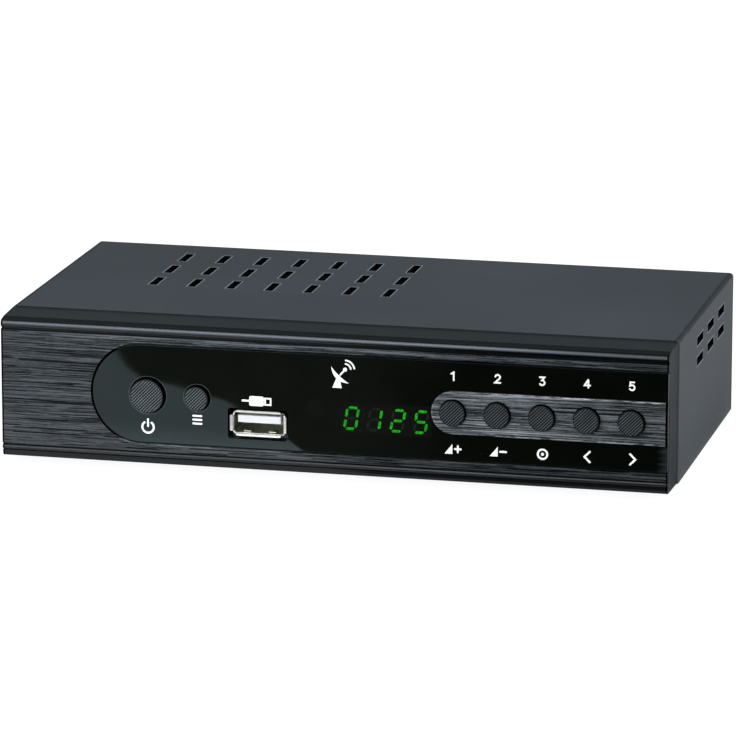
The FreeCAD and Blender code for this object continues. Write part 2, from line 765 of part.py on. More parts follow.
outer = fuse([box(ux - 6.6, Yc(1.25), Zc(uz - 2.9), ux + 6.6, Yc(14.5), Zc(uz + 2.9)),
              wedge_y(ux, Zc(uz), Yc(0.25), Yc(1.3), 7.15, 3.5, 6.6, 2.9, "Mouth")])
inner = fuse([box(ux - 6.25, Yc(1.2), Zc(uz - 2.55), ux + 6.25, Yc(14.15), Zc(uz + 2.55)),
              wedge_y(ux, Zc(uz), Yc(0.15), Yc(1.3), 6.85, 3.2, 6.25, 2.55, "Mouth")])
slits = [box(ux + sx * 6.95 - 0.45, Yc(0), Zc(uz + sz * 3.3) - 0.45, ux + sx * 6.95 + 0.45, Yc(1.15), Zc(uz + sz * 3.3) + 0.45)
         for sx in (-1, 1) for sz in (-1, 1)]
shell = cut(outer, [inner] + slits)
springs = []
for sx in (-3.2, 3.2):
    springs.append(box(ux + sx - 1.0, Yc(2.2), Zc(uz - 2.6), ux + sx + 1.0, Yc(4.6), Zc(uz - 1.9)))
    springs.append(box(ux + sx - 1.0, Yc(2.2), Zc(uz + 2.35), ux + sx + 1.0, Yc(4.6), Zc(uz + 2.6)))
fuse([shell] + springs, "usb_shell")
tongue = fuse([box(ux - 5.5, Yc(1.7), Zc(uz - 0.05), ux + 5.5, Yc(11.2), Zc(uz + 1.8)),
               box(ux - 6.2, Yc(11.0), Zc(uz - 2.5), ux + 6.2, Yc(14.1), Zc(uz + 2.5))])
doc.recompute()
soften(tongue, 0.25, lambda p: near(p.y, Yc(1.7)), "usb_tongue")
fuse([box(ux + x - 0.5, Yc(2.5), Zc(uz - 0.3), ux + x + 0.5, Yc(10.95), Zc(uz - 0.05)) for x in (-3.5, -1.0, 1.0, 3.5)], "usb_contacts")

# ======================================================= 11 main board
STAND = [(-70.0, 20.0), (70.0, 20.0), (-71.5, 71.0), (20.0, 72.0)]
mb = body("main_board")
s = sketch(mb, "XY_Plane", Zc(D["main_z"]))
mh = D["main_half"]
path(s, [(-mh, Yc(D["main_front"])), (ux - 8.2, Yc(D["main_front"])), (ux - 8.2, Yc(3.5)),
         (ux + 8.2, Yc(3.5)), (ux + 8.2, Yc(D["main_front"])), (mh, Yc(D["main_front"])),
         (mh, Yc(D["main_rear"])), (-mh, Yc(D["main_rear"]))])
pad(mb, s, D["board_thick"])
s = sketch(mb, "XY_Plane", Zc(D["main_z"]))
for x, y in STAND:
    circle(s, x, Yc(y), 1.6)
pocket(mb, s, D["board_thick"] + 0.1, rev=True)
st = body("board_standoffs")
s = sketch(st, "XY_Plane", Zc(D["steel"]))
for x, y in STAND:
    circle(s, x, Yc(y), 2.7)
pad(st, s, D["main_z"] - D["steel"])
s = sketch(st, "XY_Plane", Zc(D["main_z"]))
for x, y in STAND:
    circle(s, x, Yc(y), 1.5)
pocket(st, s, 5.2)
board_top = D["main_z"] + D["board_thick"]
items = []
for x, y in STAND:
    items.append(cyl_z(x, Yc(y), Zc(board_top - 6.0), 1.5, 6.0))
    items.append(cyl_z(x, Yc(y), Zc(board_top), 2.8, 1.9))
scr = fuse(items)
soften(scr, 0.6, lambda p: near(p.z, Zc(board_top + 1.9)), "board_screws")

# link between the two boards
fuse([box(28.0, Yc(13.4), Zc(board_top), 46.0, Yc(15.9), Zc(board_top + 2.5))], "board_link_header")
fuse([box(29.27 + 2.54 * i - 0.32, Yc(D["front_board_y"] + D["board_thick"]), Zc(board_top + 0.9),
          29.27 + 2.54 * i + 0.32, Yc(13.4), Zc(board_top + 1.54)) for i in range(7)], "board_link_pins")

# ==================================================== 12 board parts
fuse([box(-12, Yc(36), Zc(board_top), 11, Yc(59), Zc(board_top + 1.6))], "main_processor")
hs = body("heat_sink")
s = sketch(hs, "XZ_Plane", Yc(34.5))
hz = board_top + 1.6
rect(s, -14, Zc(hz), 13, Zc(hz + 2.0))
pad(hs, s, 26, rev=True)
s = sketch(hs, "XZ_Plane", Yc(34.5))
rect(s, -14, Zc(hz + 1.9), -12.8, Zc(hz + 11.0))
fin = pad(hs, s, 26, rev=True)
pat = hs.newObject("PartDesign::LinearPattern", "Fins")
pat.Originals = [fin]
pat.Direction = (plane(hs, "X_Axis"), [""])
pat.Length = 25.8
pat.Occurrences = 9
hs.Tip = pat
doc.recompute()
fuse([box(20, Yc(38), Zc(board_top), 28.0, Yc(51), Zc(board_top + 1.1)),
      box(-30, Yc(38), Zc(board_top), -22, Yc(51), Zc(board_top + 1.1)),
      box(-44, Yc(44), Zc(board_top), -38.7, Yc(49.2), Zc(board_top + 1.8))], "memory_chips")
fuse([cyl_z(x, Yc(y), Zc(board_top), r, hgt) for x, y, r, hgt in (
    (-66, 62, 4.0, 11.5), (-54, 68, 4.0, 11.5), (-44, 78, 3.15, 9.0), (-35, 66, 3.15, 9.0),
    (34, 56, 2.5, 7.0), (-58, 34, 3.15, 9.0))], "electrolytic_capacitors")
items = []
for x, y in ((-60.0, 48.0), (-49.0, 56.0), (34.0, 44.0)):
    items.append(box(x - 3.5, Yc(y - 3.5), Zc(board_top), x + 3.5, Yc(y + 3.5), Zc(board_top + 4.0)))
ind = fuse(items)
doc.recompute()
soften(ind, 1.2, lambda p: p.z > Zc(board_top + 0.01).v and p.z < Zc(board_top + 4.01).v and False or
       (near(p.z, Zc(board_top + 4.0))), "power_inductors", "Part::Chamfer")
xt = box(-2.5, Yc(66), Zc(board_top), 8.5, Yc(70.6), Zc(board_top + 3.5))
doc.recompute()
soften(xt, 1.0, lambda p: near(p.z, Zc(board_top + 3.5)), "clock_crystal")

# screened tuner
tx0, tx1, ty0, ty1 = 38.5, 74.5, Yc(61.0), Yc(86.4)
tz0, tz1 = Zc(board_top), Zc(22.6)
fuse([cut(box(tx0, ty0, tz0, tx1, ty1, tz1),
          [box(tx0 + 0.6, ty0 + 0.6, tz0 - 1, tx1 - 0.6, ty1 - 0.6, tz1 + 1)])], "tuner_frame")
fuse([cut(box(tx0 - 0.4, ty0 - 0.4, tz1 - 4.0, tx1 + 0.4, ty1, tz1 + 0.4),
          [box(tx0, ty0, tz1 - 5.0, tx1, ty1 + 1, tz1)])], "tuner_lid")

# ==================================================== 13 rear sockets
fz = D["f_z"]
for name, x in (("lnb_in_connector", D["lnb_x"]), ("lnb_loop_connector", D["loop_x"])):
    b = body(name)
    s = sketch(b, "YZ_Plane", 0)
    wall_in = D["rear_wall_y"] - D["steel"]
    nut_out = D["rear_wall_y"] + 2.05
    path(s, [(86.4, 3.3), (D["f_tip"], 3.3), (D["f_tip"], D["f_r"] - 0.35), (D["f_tip"] - 0.35, D["f_r"]),
             (nut_out, D["f_r"]), (nut_out, D["f_r"] - 0.36), (wall_in, D["f_r"] - 0.36),
             (wall_in, 6.2), (86.4, 6.2)])
    revolve(b, s)
    place(b, x, D["front_y"], Zc(fz))
items = []
for x in (D["lnb_x"], D["loop_x"]):
    nut = doc.addObject("Part::Prism", tname("Nut"))
    nut.Polygon = 6
    nut.Circumradius = 6.6
    nut.Height = 2.0
    place(nut, x, Yc(D["rear_wall_y"]), Zc(fz), TO_Y)
    items.append(cut(nut, cyl_y(x, Yc(D["rear_wall_y"] - 1), Zc(fz), D["f_r"] - 0.33, 5)))
fuse(items, "f_nuts")
items = []
for x in (D["lnb_x"], D["loop_x"]):
    items.append(cut(cyl_y(x, Yc(86.4), Zc(fz), 3.3, D["f_tip"] - 86.4 - 0.5),
                     cyl_y(x, Yc(88.0), Zc(fz), 1.1, 20)))
fuse(items, "f_insulators")
items = []
for x in (D["lnb_x"], D["loop_x"]):
    items.append(cut(cyl_y(x, Yc(88.0), Zc(fz), 1.1, D["f_tip"] - 88.0 - 1.4),
                     cyl_y(x, Yc(90.0), Zc(fz), 0.55, 20)))
fuse(items, "f_contacts")

# HDMI socket
hx, hz2 = D["hdmi_x"], D["hdmi_z"]


def hdmi_outline(s, g):
    w, a = 7.5 - g, 2.85 - g
    path(s, [(hx - w + 1.3, Zc(hz2 - a)), (hx + w - 1.3, Zc(hz2 - a)), (hx + w, Zc(hz2 - a + 1.5)),
             (hx + w, Zc(hz2 + a)), (hx - w, Zc(hz2 + a)), (hx - w, Zc(hz2 - a + 1.5))])


b = body("hdmi_shell")
s = sketch(b, "XZ_Plane", Yc(91.3))
hdmi_outline(s, 0)
pad(b, s, 11.8)
s = sketch(b, "XZ_Plane", Yc(91.3))
hdmi_outline(s, 0.35)
pocket(b, s, 11.4, rev=True)
tg = fuse([box(hx - 6.7, Yc(80.0), Zc(hz2 - 0.7), hx + 6.7, Yc(82.6), Zc(hz2 + 2.4)),
           box(hx - 5.8, Yc(82.5), Zc(hz2 - 0.2), hx + 5.8, Yc(90.4), Zc(hz2 + 0.9))])
soften(tg, 0.2, lambda p: near(p.y, Yc(90.4)), "hdmi_tongue")
fuse([box(hx + (i - 4.5) * 1.0 - 0.25, Yc(82.7), Zc(hz2 + 0.9), hx + (i - 4.5) * 1.0 + 0.25, Yc(90.0), Zc(hz2 + 1.02))
      for i in range(10)], "hdmi_contacts")

# 3.5 mm AV jack
ax, az = D["av_x"], D["av_z"]
jack = cut(fuse([box(ax - 3.5, Yc(77.3), Zc(board_top), ax + 3.5, Yc(89.2), Zc(az + 3.4)),
                 cyl_y(ax, Yc(89.1), Zc(az), 3.0, 3.0)]),
           cyl_y(ax, Yc(78.3), Zc(az), 1.8, 20))
soften(jack, 0.35, lambda p: near(p.y, Yc(92.1)) and near(math.hypot(p.x - ax.v, p.z - Zc(az).v), 3.0), "av_jack")

# coaxial audio socket: plastic block, metal barrel, inner insulator
cx, cz = D["coax_x"], D["coax_z"]
fuse([cut(fuse([box(cx - 5.2, Yc(79.0), Zc(board_top), cx + 5.2, Yc(89.2), Zc(cz + 5.2)),
                cyl_y(cx, Yc(89.1), Zc(cz), 5.0, 2.2)]),
          cyl_y(cx, Yc(86.0), Zc(cz), 3.88, 20))], "coax_audio_block")
b = body("coax_audio_barrel")
s = sketch(b, "YZ_Plane", 0)
path(s, [(86.0, 3.25), (99.2, 3.25), (99.2, 3.9), (98.95, 4.15), (91.35, 4.15), (91.35, 3.85), (86.0, 3.85)])
revolve(b, s)
place(b, cx, D["front_y"], Zc(cz))
b = body("coax_audio_insulator")
s = sketch(b, "YZ_Plane", 0)
path(s, [(86.0, 0), (90.0, 0), (90.0, 1.65), (98.2, 1.65), (98.2, 3.25), (86.0, 3.25)])
revolve(b, s)
place(b, cx, D["front_y"], Zc(cz))

# DC inlet
dx, dz = D["dc_x"], D["dc_z"]
dc = cut(box(dx - 4.5, Yc(77.4), Zc(board_top), dx + 4.5, Yc(91.4), Zc(dz + 5.0)),
         cyl_y(dx, Yc(81.5), Zc(dz), 2.85, 20))
soften(dc, 0.3, lambda p: near(p.y, Yc(91.4)) and max(abs(p.x - dx.v), 0) > 2.9 or
       (near(p.y, Yc(91.4)) and abs(p.z - Zc(dz).v) > 4.0), "dc_inlet")
pn = cyl_y(dx, Yc(81.5), Zc(dz), 1.0, 8.6)
soften(pn, 0.35, lambda p: near(p.y, Yc(90.1)), "dc_inlet_pin")

# ===================================================== 14 fixings, feet
items = []
for x in SCREW_X:
    items.append(cyl_y(x, Yc(84.6), lip_z, 1.25, D["case_depth"] - 84.6))
    items.append(cyl_y(x, Yc(D["case_depth"]), lip_z, 2.8, 1.7))
cs = fuse(items)
cs = soften(cs, 0.7, lambda p: near(p.y, Yc(D["case_depth"] + 1.7)), "cover_screws_round")
# cross recess in each head
slots = []
for x in SCREW_X:
    yh = Yc(D["case_depth"] + 0.7)
    slots.append(box(x - 1.4, yh, lip_z - 0.3, x + 1.4, yh + 2, lip_z + 0.3))
    slots.append(box(x - 0.3, yh, lip_z - 1.4, x + 0.3, yh + 2, lip_z + 1.4))
cut(cs, slots, "cover_screws")

FEET = [(-70.0, 22.0), (70.0, 22.0), (-70.0, 78.0), (70.0, 78.0)]
ft = body("rubber_feet")
s = sketch(ft, "XY_Plane", 0)
for x, y in FEET:
    circle(s, x, Yc(y), 5.0)
pad(ft, s, D["foot_height"])
fillet(ft, 0.35, lambda p: near(p.z, 0))

# ================================================================ export
doc.recompute()

NODES = ["top_cover", "bottom_tray", "front_fascia", "display_lens", "button_trim_strip"]
NODES += [k[0] + "_key" for k in KEYS]
NODES += [k[0] + "_switch_plunger" for k in KEYS]
NODES += ["switch_bodies", "front_board", "front_board_screws", "display_module", "infrared_receiver",
          "usb_shell", "usb_tongue", "usb_contacts", "main_board", "board_standoffs", "board_screws",
          "board_link_header", "board_link_pins", "main_processor", "heat_sink", "memory_chips",
          "electrolytic_capacitors", "power_inductors", "clock_crystal", "tuner_frame", "tuner_lid",
          "lnb_in_connector", "lnb_loop_connector", "f_nuts", "f_insulators", "f_contacts",
          "hdmi_shell", "hdmi_tongue", "hdmi_contacts", "av_jack", "coax_audio_block",
          "coax_audio_barrel", "coax_audio_insulator", "dc_inlet", "dc_inlet_pin", "cover_screws",
          "rubber_feet"]

bad = []
for o in doc.Objects:
    st_ = list(o.State)
    if "Invalid" in st_ or "Error" in st_:
        bad.append((o.Name, o.Label, st_))
if bad:
    for x in bad:
        print("FAILED", x)
    raise RuntimeError("some objects did not recompute")

shapes = {}
for name in NODES:
    found = doc.getObjectsByLabel(name)
    if len(found) != 1:
        raise RuntimeError("%s: %d objects carry this label" % (name, len(found)))
    sh = found[0].Shape
    if sh.isNull() or not sh.isValid() or not sh.Solids:
        raise RuntimeError(name + ": shape is null, invalid or holds no solid")
    shapes[name] = sh

os.makedirs("parts", exist_ok=True)
for old in os.listdir("parts"):
    if old.endswith(".step") and old[:-5] not in shapes:
        os.remove(os.path.join("parts", old))
lo = [1e9] * 3
hi = [-1e9] * 3
for name, sh in shapes.items():
    sh.exportStep("parts/%s.step" % name)
    bb = sh.optimalBoundingBox(False) if hasattr(sh, "optimalBoundingBox") else sh.BoundBox
    for k, (a, b2) in enumerate(((bb.XMin, bb.XMax), (bb.YMin, bb.YMax), (bb.ZMin, bb.ZMax))):
        lo[k] = min(lo[k], a)
        hi[k] = max(hi[k], b2)
    print("%-24s solids %2d  volume %9.2f  x %7.2f..%7.2f  y %7.2f..%7.2f  z %6.2f..%6.2f" % (
        name, len(sh.Solids), sh.Volume, bb.XMin, bb.XMax, bb.YMin, bb.YMax, bb.ZMin, bb.ZMax))
print("nodes", len(NODES))
print("box", [round(v, 3) for v in lo], [round(v, 3) for v in hi])
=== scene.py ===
import bpy
import math
import numpy as np
from mathutils import Matrix, Vector
from mathutils.geometry import tessellate_polygon


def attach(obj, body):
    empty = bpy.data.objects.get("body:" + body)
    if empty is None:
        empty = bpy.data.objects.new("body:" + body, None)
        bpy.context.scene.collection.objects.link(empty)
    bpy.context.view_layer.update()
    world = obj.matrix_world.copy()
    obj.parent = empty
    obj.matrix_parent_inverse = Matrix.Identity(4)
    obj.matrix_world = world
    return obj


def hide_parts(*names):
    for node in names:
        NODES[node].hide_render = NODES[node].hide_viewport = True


# A small satellite TV receiver on a pale table.
# All pieces are in metres in the part's frame: +X right, +Y to the rear, +Z up.
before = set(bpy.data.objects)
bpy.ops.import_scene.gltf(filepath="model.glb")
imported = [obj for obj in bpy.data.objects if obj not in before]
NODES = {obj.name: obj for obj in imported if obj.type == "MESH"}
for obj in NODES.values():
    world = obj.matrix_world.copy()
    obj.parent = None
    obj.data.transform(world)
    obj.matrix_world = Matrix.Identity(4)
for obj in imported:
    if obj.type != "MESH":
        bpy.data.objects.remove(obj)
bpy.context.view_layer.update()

MM = 0.001
FY = -50.1      # nose of the fascia, mm
FZ = 1.8        # underside of the case, mm
LENS_Z = 17.85 + FZ
LENS_MID, LENS_R, LENS_X = 18.2 + FZ, 12.45, -48.4
LENS_FACE = FY + 0.05
KEYS = [("power", -46.6, 4.25), ("menu", -33.93, 3.05), ("plus", 30.95, 3.2), ("minus", 42.08, 3.2),
        ("ok", 53.21, 3.2), ("left", 64.34, 3.2), ("right", 75.47, 3.2)]


def lin(r, g, b):
    """Linear colour of an sRGB one."""
    def one(c):
        c /= 255.0
        return c / 12.92 if c <= 0.04045 else ((c + 0.055) / 1.055) ** 2.4
    return (one(r), one(g), one(b), 1.0)


# ------------------------------------------------------------ node graphs

class Val:
    """A number in a shader graph; arithmetic on it adds Math nodes."""

    def __init__(self, g, sock):
        self.g, self.s = g, sock

    def m(self, op, o=None, p=None, clamp=False):
        return self.g.math(op, self, o, p, clamp)

    def __add__(self, o):
        return self.m("ADD", o)

    __radd__ = __add__

    def __sub__(self, o):
        return self.m("SUBTRACT", o)

    def __rsub__(self, o):
        return self.g.math("SUBTRACT", o, self)

    def __mul__(self, o):
        return self.m("MULTIPLY", o)

    __rmul__ = __mul__

    def __truediv__(self, o):
        return self.m("DIVIDE", o)

    def __neg__(self):
        return self.m("MULTIPLY", -1.0)

    def abs(self):
        return self.m("ABSOLUTE")

    def max(self, o):
        return self.m("MAXIMUM", o)

    def min(self, o):
        return self.m("MINIMUM", o)

    def round(self):
        return self.m("ROUND")

    def fract(self):
        return self.m("FRACT")

    def sqrt(self):
        return self.m("SQRT")

    def pow(self, o):
        return self.m("POWER", o)

    def ramp(self, a, b, lo=0.0, hi=1.0):
        """Smooth step from lo at a to hi at b."""
        n = self.g.new("ShaderNodeMapRange")
        n.interpolation_type = "SMOOTHSTEP"
        self.g.link(self.s, n.inputs["Value"])
        if a > b:
            a, b, lo, hi = b, a, hi, lo
        n.inputs["From Min"].default_value = a
        n.inputs["From Max"].default_value = b
        n.inputs["To Min"].default_value = lo
        n.inputs["To Max"].default_value = hi
        return Val(self.g, n.outputs["Result"])

    def lin(self, a, b, lo=0.0, hi=1.0):
        n = self.g.new("ShaderNodeMapRange")
        self.g.link(self.s, n.inputs["Value"])
        n.inputs["From Min"].default_value = a
        n.inputs["From Max"].default_value = b
        n.inputs["To Min"].default_value = lo
        n.inputs["To Max"].default_value = hi
        return Val(self.g, n.outputs["Result"])


class Graph:
    def __init__(self, name, **sockets):
        self.mat = bpy.data.materials.new(name)
        self.mat.use_nodes = True
        self.nt = self.mat.node_tree
        self.nt.nodes.clear()
        out = self.new("ShaderNodeOutputMaterial")
        self.bsdf = self.new("ShaderNodeBsdfPrincipled")
        self.link(self.bsdf.outputs["BSDF"], out.inputs["Surface"])
        for k, v in sockets.items():
            self.bsdf.inputs[k.replace("_", " ")].default_value = v
        tc = self.new("ShaderNodeTexCoord")
        self.pos = tc.outputs["Object"]
        sep = self.new("ShaderNodeSeparateXYZ")
        self.link(self.pos, sep.inputs[0])
        # millimetres in the part's frame
        self.x, self.y, self.z = (Val(self, sep.outputs[i]) * 1000.0 for i in range(3))

    def new(self, kind):
        return self.nt.nodes.new(kind)

    def link(self, a, b):
        self.nt.links.new(a, b)

    def put(self, value, sock):
        if isinstance(value, Val):
            self.link(value.s, sock)
        elif isinstance(value, bpy.types.NodeSocket):
            self.link(value, sock)
        else:
            sock.default_value = value

    def math(self, op, a, b=None, c=None, clamp=False):
        n = self.new("ShaderNodeMath")
        n.operation = op
        n.use_clamp = clamp
        for i, v in enumerate((a, b, c)):
            if v is not None:
                self.put(v, n.inputs[i])
        return Val(self, n.outputs[0])

    def noise(self, scale, detail=2.0, rough=0.5, warp=0.0, shift=(0, 0, 0)):
        """Noise whose feature size is 1/scale mm along each axis."""
        if isinstance(scale, (int, float)):
            scale = (scale, scale, scale)
        m = self.new("ShaderNodeMapping")
        m.inputs["Scale"].default_value = [s * 1000.0 for s in scale]
        m.inputs["Location"].default_value = shift
        self.link(self.pos, m.inputs["Vector"])
        n = self.new("ShaderNodeTexNoise")
        n.inputs["Scale"].default_value = 1.0
        n.inputs["Detail"].default_value = detail
        n.inputs["Roughness"].default_value = rough
        n.inputs["Distortion"].default_value = warp
        self.link(m.outputs[0], n.inputs["Vector"])
        return Val(self, n.outputs[0])

    def scatter(self, a, b, c, detail=1.0):
        """Noise at a point given as three numbers."""
        v = self.new("ShaderNodeCombineXYZ")
        for i, k in enumerate((a, b, c)):
            self.put(k, v.inputs[i])
        n = self.new("ShaderNodeTexNoise")
        n.inputs["Scale"].default_value = 1.0
        n.inputs["Detail"].default_value = detail
        self.link(v.outputs[0], n.inputs["Vector"])
        return Val(self, n.outputs[0])

    def cells(self, scale, feature="F1", rand=1.0):
        if isinstance(scale, (int, float)):
            scale = (scale, scale, scale)
        m = self.new("ShaderNodeMapping")
        m.inputs["Scale"].default_value = [s * 1000.0 for s in scale]
        self.link(self.pos, m.inputs["Vector"])
        n = self.new("ShaderNodeTexVoronoi")
        n.feature = feature
        n.inputs["Scale"].default_value = 1.0
        n.inputs["Randomness"].default_value = rand
        self.link(m.outputs[0], n.inputs["Vector"])
        return Val(self, n.outputs["Distance"])

    def colour(self, fac, *stops):
        n = self.new("ShaderNodeValToRGB")
        self.put(fac, n.inputs[0])
        r = n.color_ramp
        while len(r.elements) < len(stops):
            r.elements.new(0.5)
        for e, (p, c) in zip(r.elements, stops):
            e.position = p
            e.color = c
        return n.outputs[0]

    def mix(self, fac, a, b, kind="MIX"):
        n = self.new("ShaderNodeMix")
        n.data_type = "RGBA"
        n.blend_type = kind
        n.clamp_factor = True
        self.put(fac, n.inputs[0])
        self.put(a, n.inputs[6])
        self.put(b, n.inputs[7])
        return n.outputs[2]

    def bump(self, height, mm, normal=None, strength=1.0):
        n = self.new("ShaderNodeBump")
        n.inputs["Strength"].default_value = strength
        n.inputs["Distance"].default_value = mm * MM
        self.put(height, n.inputs["Height"])
        if normal is not None:
            self.link(normal, n.inputs["Normal"])
        return n.outputs[0]

    def soft_edges(self, mm):
        n = self.new("ShaderNodeBevel")
        n.samples = 4
        n.inputs["Radius"].default_value = mm * MM
        return n.outputs[0]

    def facing(self):
        """The surface's own direction, x y z."""
        n = self.new("ShaderNodeNewGeometry")
        sep = self.new("ShaderNodeSeparateXYZ")
        self.link(n.outputs["Normal"], sep.inputs[0])
        return [Val(self, sep.outputs[i]) for i in range(3)]

    def finish(self, colour=None, rough=None, normal=None):
        if colour is not None:
            self.put(colour, self.bsdf.inputs["Base Color"])
        if rough is not None:
            self.put(rough, self.bsdf.inputs["Roughness"])
        if normal is not None:
            self.put(normal, self.bsdf.inputs["Normal"])
        return self.mat


def slot_distance(g, a, b, ax, bx, step_a, n_a, step_b, n_b, half_a, half_b):
    """Distance in mm outside the nearest of a grid of rectangles: coordinates a and b, first centres ax and bx."""
    ia = ((a - ax) / step_a).round().max(0.0).min(n_a - 1.0)
    ib = ((b - bx) / step_b).round().max(0.0).min(n_b - 1.0)
    da = (a - ax - ia * step_a).abs() - half_a
    db = (b - bx - ib * step_b).abs() - half_b
    pa, pb = da.max(0.0), db.max(0.0)
    return (pa * pa + pb * pb).sqrt() + da.max(db).min(0.0)


# ------------------------------------------------------------ materials

def case_paint():
    g = Graph("case_paint", Specular_IOR_Level=0.25)
    grain = g.noise(3.6, 3.0, 0.65)
    fine = g.noise(9.0, 2.0, 0.6)
    broad = g.noise((0.014, 0.02, 0.02), 2.0, 0.5)
    base = g.colour(grain * 0.55 + broad * 0.45, (0.30, lin(47, 52, 56)), (0.52, lin(55, 60, 65)), (0.74, lin(65, 71, 76)))
    # painted highlight on the pressed edges round the vent slots
    top = slot_distance(g, g.x, g.y, -57.08, 47.35 + FY, 10.165, 7, 14.29, 3, 0.9, 4.4)
    side = slot_distance(g, g.y, g.z, 41.24 + FY, 24.97 + FZ, 15.44, 3, 5.13, 2, 4.4, 0.95)
    on_top = g.z.ramp(37.83, 37.87)
    on_side = g.x.abs().ramp(84.93, 84.97)
    rim = top.ramp(0.14, 0.18) * top.ramp(0.50, 0.40) * on_top
    side_rim_highlight = side.ramp(0.14, 0.18) * side.ramp(0.50, 0.40) * on_side
    rim = (rim + side_rim_highlight).min(1.0)
    base = g.mix(rim * 0.80, base, lin(124, 132, 138))
    # painted shade: the pressed step and the cut walls of the slots are painted near-black
    shaded_wall = top.ramp(0.20, 0.165) * g.z.ramp(37.86, 37.82) * g.z.ramp(36.8, 37.0)
    shaded_wall2 = side.ramp(0.20, 0.165) * g.x.abs().ramp(84.97, 84.92)
    base = g.mix((shaded_wall + shaded_wall2).min(1.0) * 0.95, base, lin(2, 2, 3))
    # painted shade darkens the paint over the bends and along the rear hem
    bend = g.x.abs().ramp(83.3, 84.1) * g.z.ramp(37.0, 37.5)
    hem = g.x.abs().ramp(84.85, 84.95) * g.y.ramp(FY + 88.4, FY + 89.6)
    base = g.mix(bend * 0.84, base, lin(20, 23, 25))
    base = g.mix(hem * 0.75, base, lin(20, 23, 25))
    # the cover's front edge at the seam: painted light on the sides to offset their shade, painted shade along the top
    cut = g.y.ramp(FY + 11.96, FY + 11.92)
    base = g.mix(cut * g.x.abs().ramp(83.9, 84.6) * 0.7, base, lin(110, 118, 124))
    base = g.mix(cut * g.x.abs().ramp(84.6, 83.9) * 0.9, base, lin(10, 11, 12))
    # faint painted highlight on the bends, broken up by the grain
    base = g.mix(bend * grain.ramp(0.52, 0.66) * 0.10, base, lin(92, 98, 103))
    # fine dust on the top
    dust = g.cells(0.55).ramp(0.10, 0.045) * g.noise(0.05, 2.0).ramp(0.5, 0.62)
    base = g.mix(dust * 0.35, base, lin(120, 124, 126))
    g.link((((shaded_wall + shaded_wall2) * 1.2).min(1.0)).s, g.bsdf.inputs["Metallic"])
    rough = (grain.lin(0.3, 0.7, 0.46, 0.60) + (shaded_wall + shaded_wall2) * 0.5 + bend * 0.2).min(1.0)
    n = g.bump(grain * 0.7 + fine * 0.3, 0.022)
    return g.finish(base, rough, n)


def brushed_lines(g, shift=0.0, more=0.0):
    """Irregular horizontal hairlines: (0..1 shade, 0..1 deep scratch mask)."""
    a = g.noise((0.012, 0.3, 2.4), 1.0, 0.6, shift=(shift, 0, shift))
    c = g.noise((0.022, 0.3, 3.9), 1.0, 0.60, shift=(7.7, 0, 5.2 + shift))
    e = g.noise((0.22, 0.3, 3.2), 1.0, 0.6, shift=(4.4, 0, 2.3))
    f = g.noise((1.1, 0.3, 3.4), 1.0, 0.6, shift=(3.1, 0, 8.8 + shift))
    shade = a * 0.31 + c * 0.43 + e * 0.20 + f * 0.14 - 0.04
    # thin broken dark scratches: rows of even width, each there for a stretch of its length
    sway = g.noise((0.010, 0.3, 0.12), 0.0, 0.5, shift=(1.2, 0, shift)) * 2.4

    def rows(per_mm, along, seed, lo, hi, thin):
        at = g.z * per_mm + sway * per_mm + seed
        k = at.m("FLOOR")
        f = (at - k - 0.5).abs()
        there = g.scatter(g.x * along + seed * 1.7, k * 5.37 + shift, seed, 1.0)
        return there.ramp(lo - more, hi - more) * f.ramp(thin, thin * 0.45)
    deep = rows(1.9, 0.050, 3.3, 0.560, 0.590, 0.28) * 0.96
    deep = deep.max(rows(2.9, 0.036, 8.1, 0.565, 0.600, 0.40) * 0.80)
    deep = deep.max(rows(3.7, 0.075, 14.6, 0.550, 0.600, 0.48) * 0.50)
    return shade, deep


def stadium(g, x0, z0, r):
    """Distance in mm from a bar with a round left end, open to the right."""
    dx = (g.x - x0).min(0.0)
    dz = g.z - z0
    return (dx * dx + dz * dz).sqrt() - r


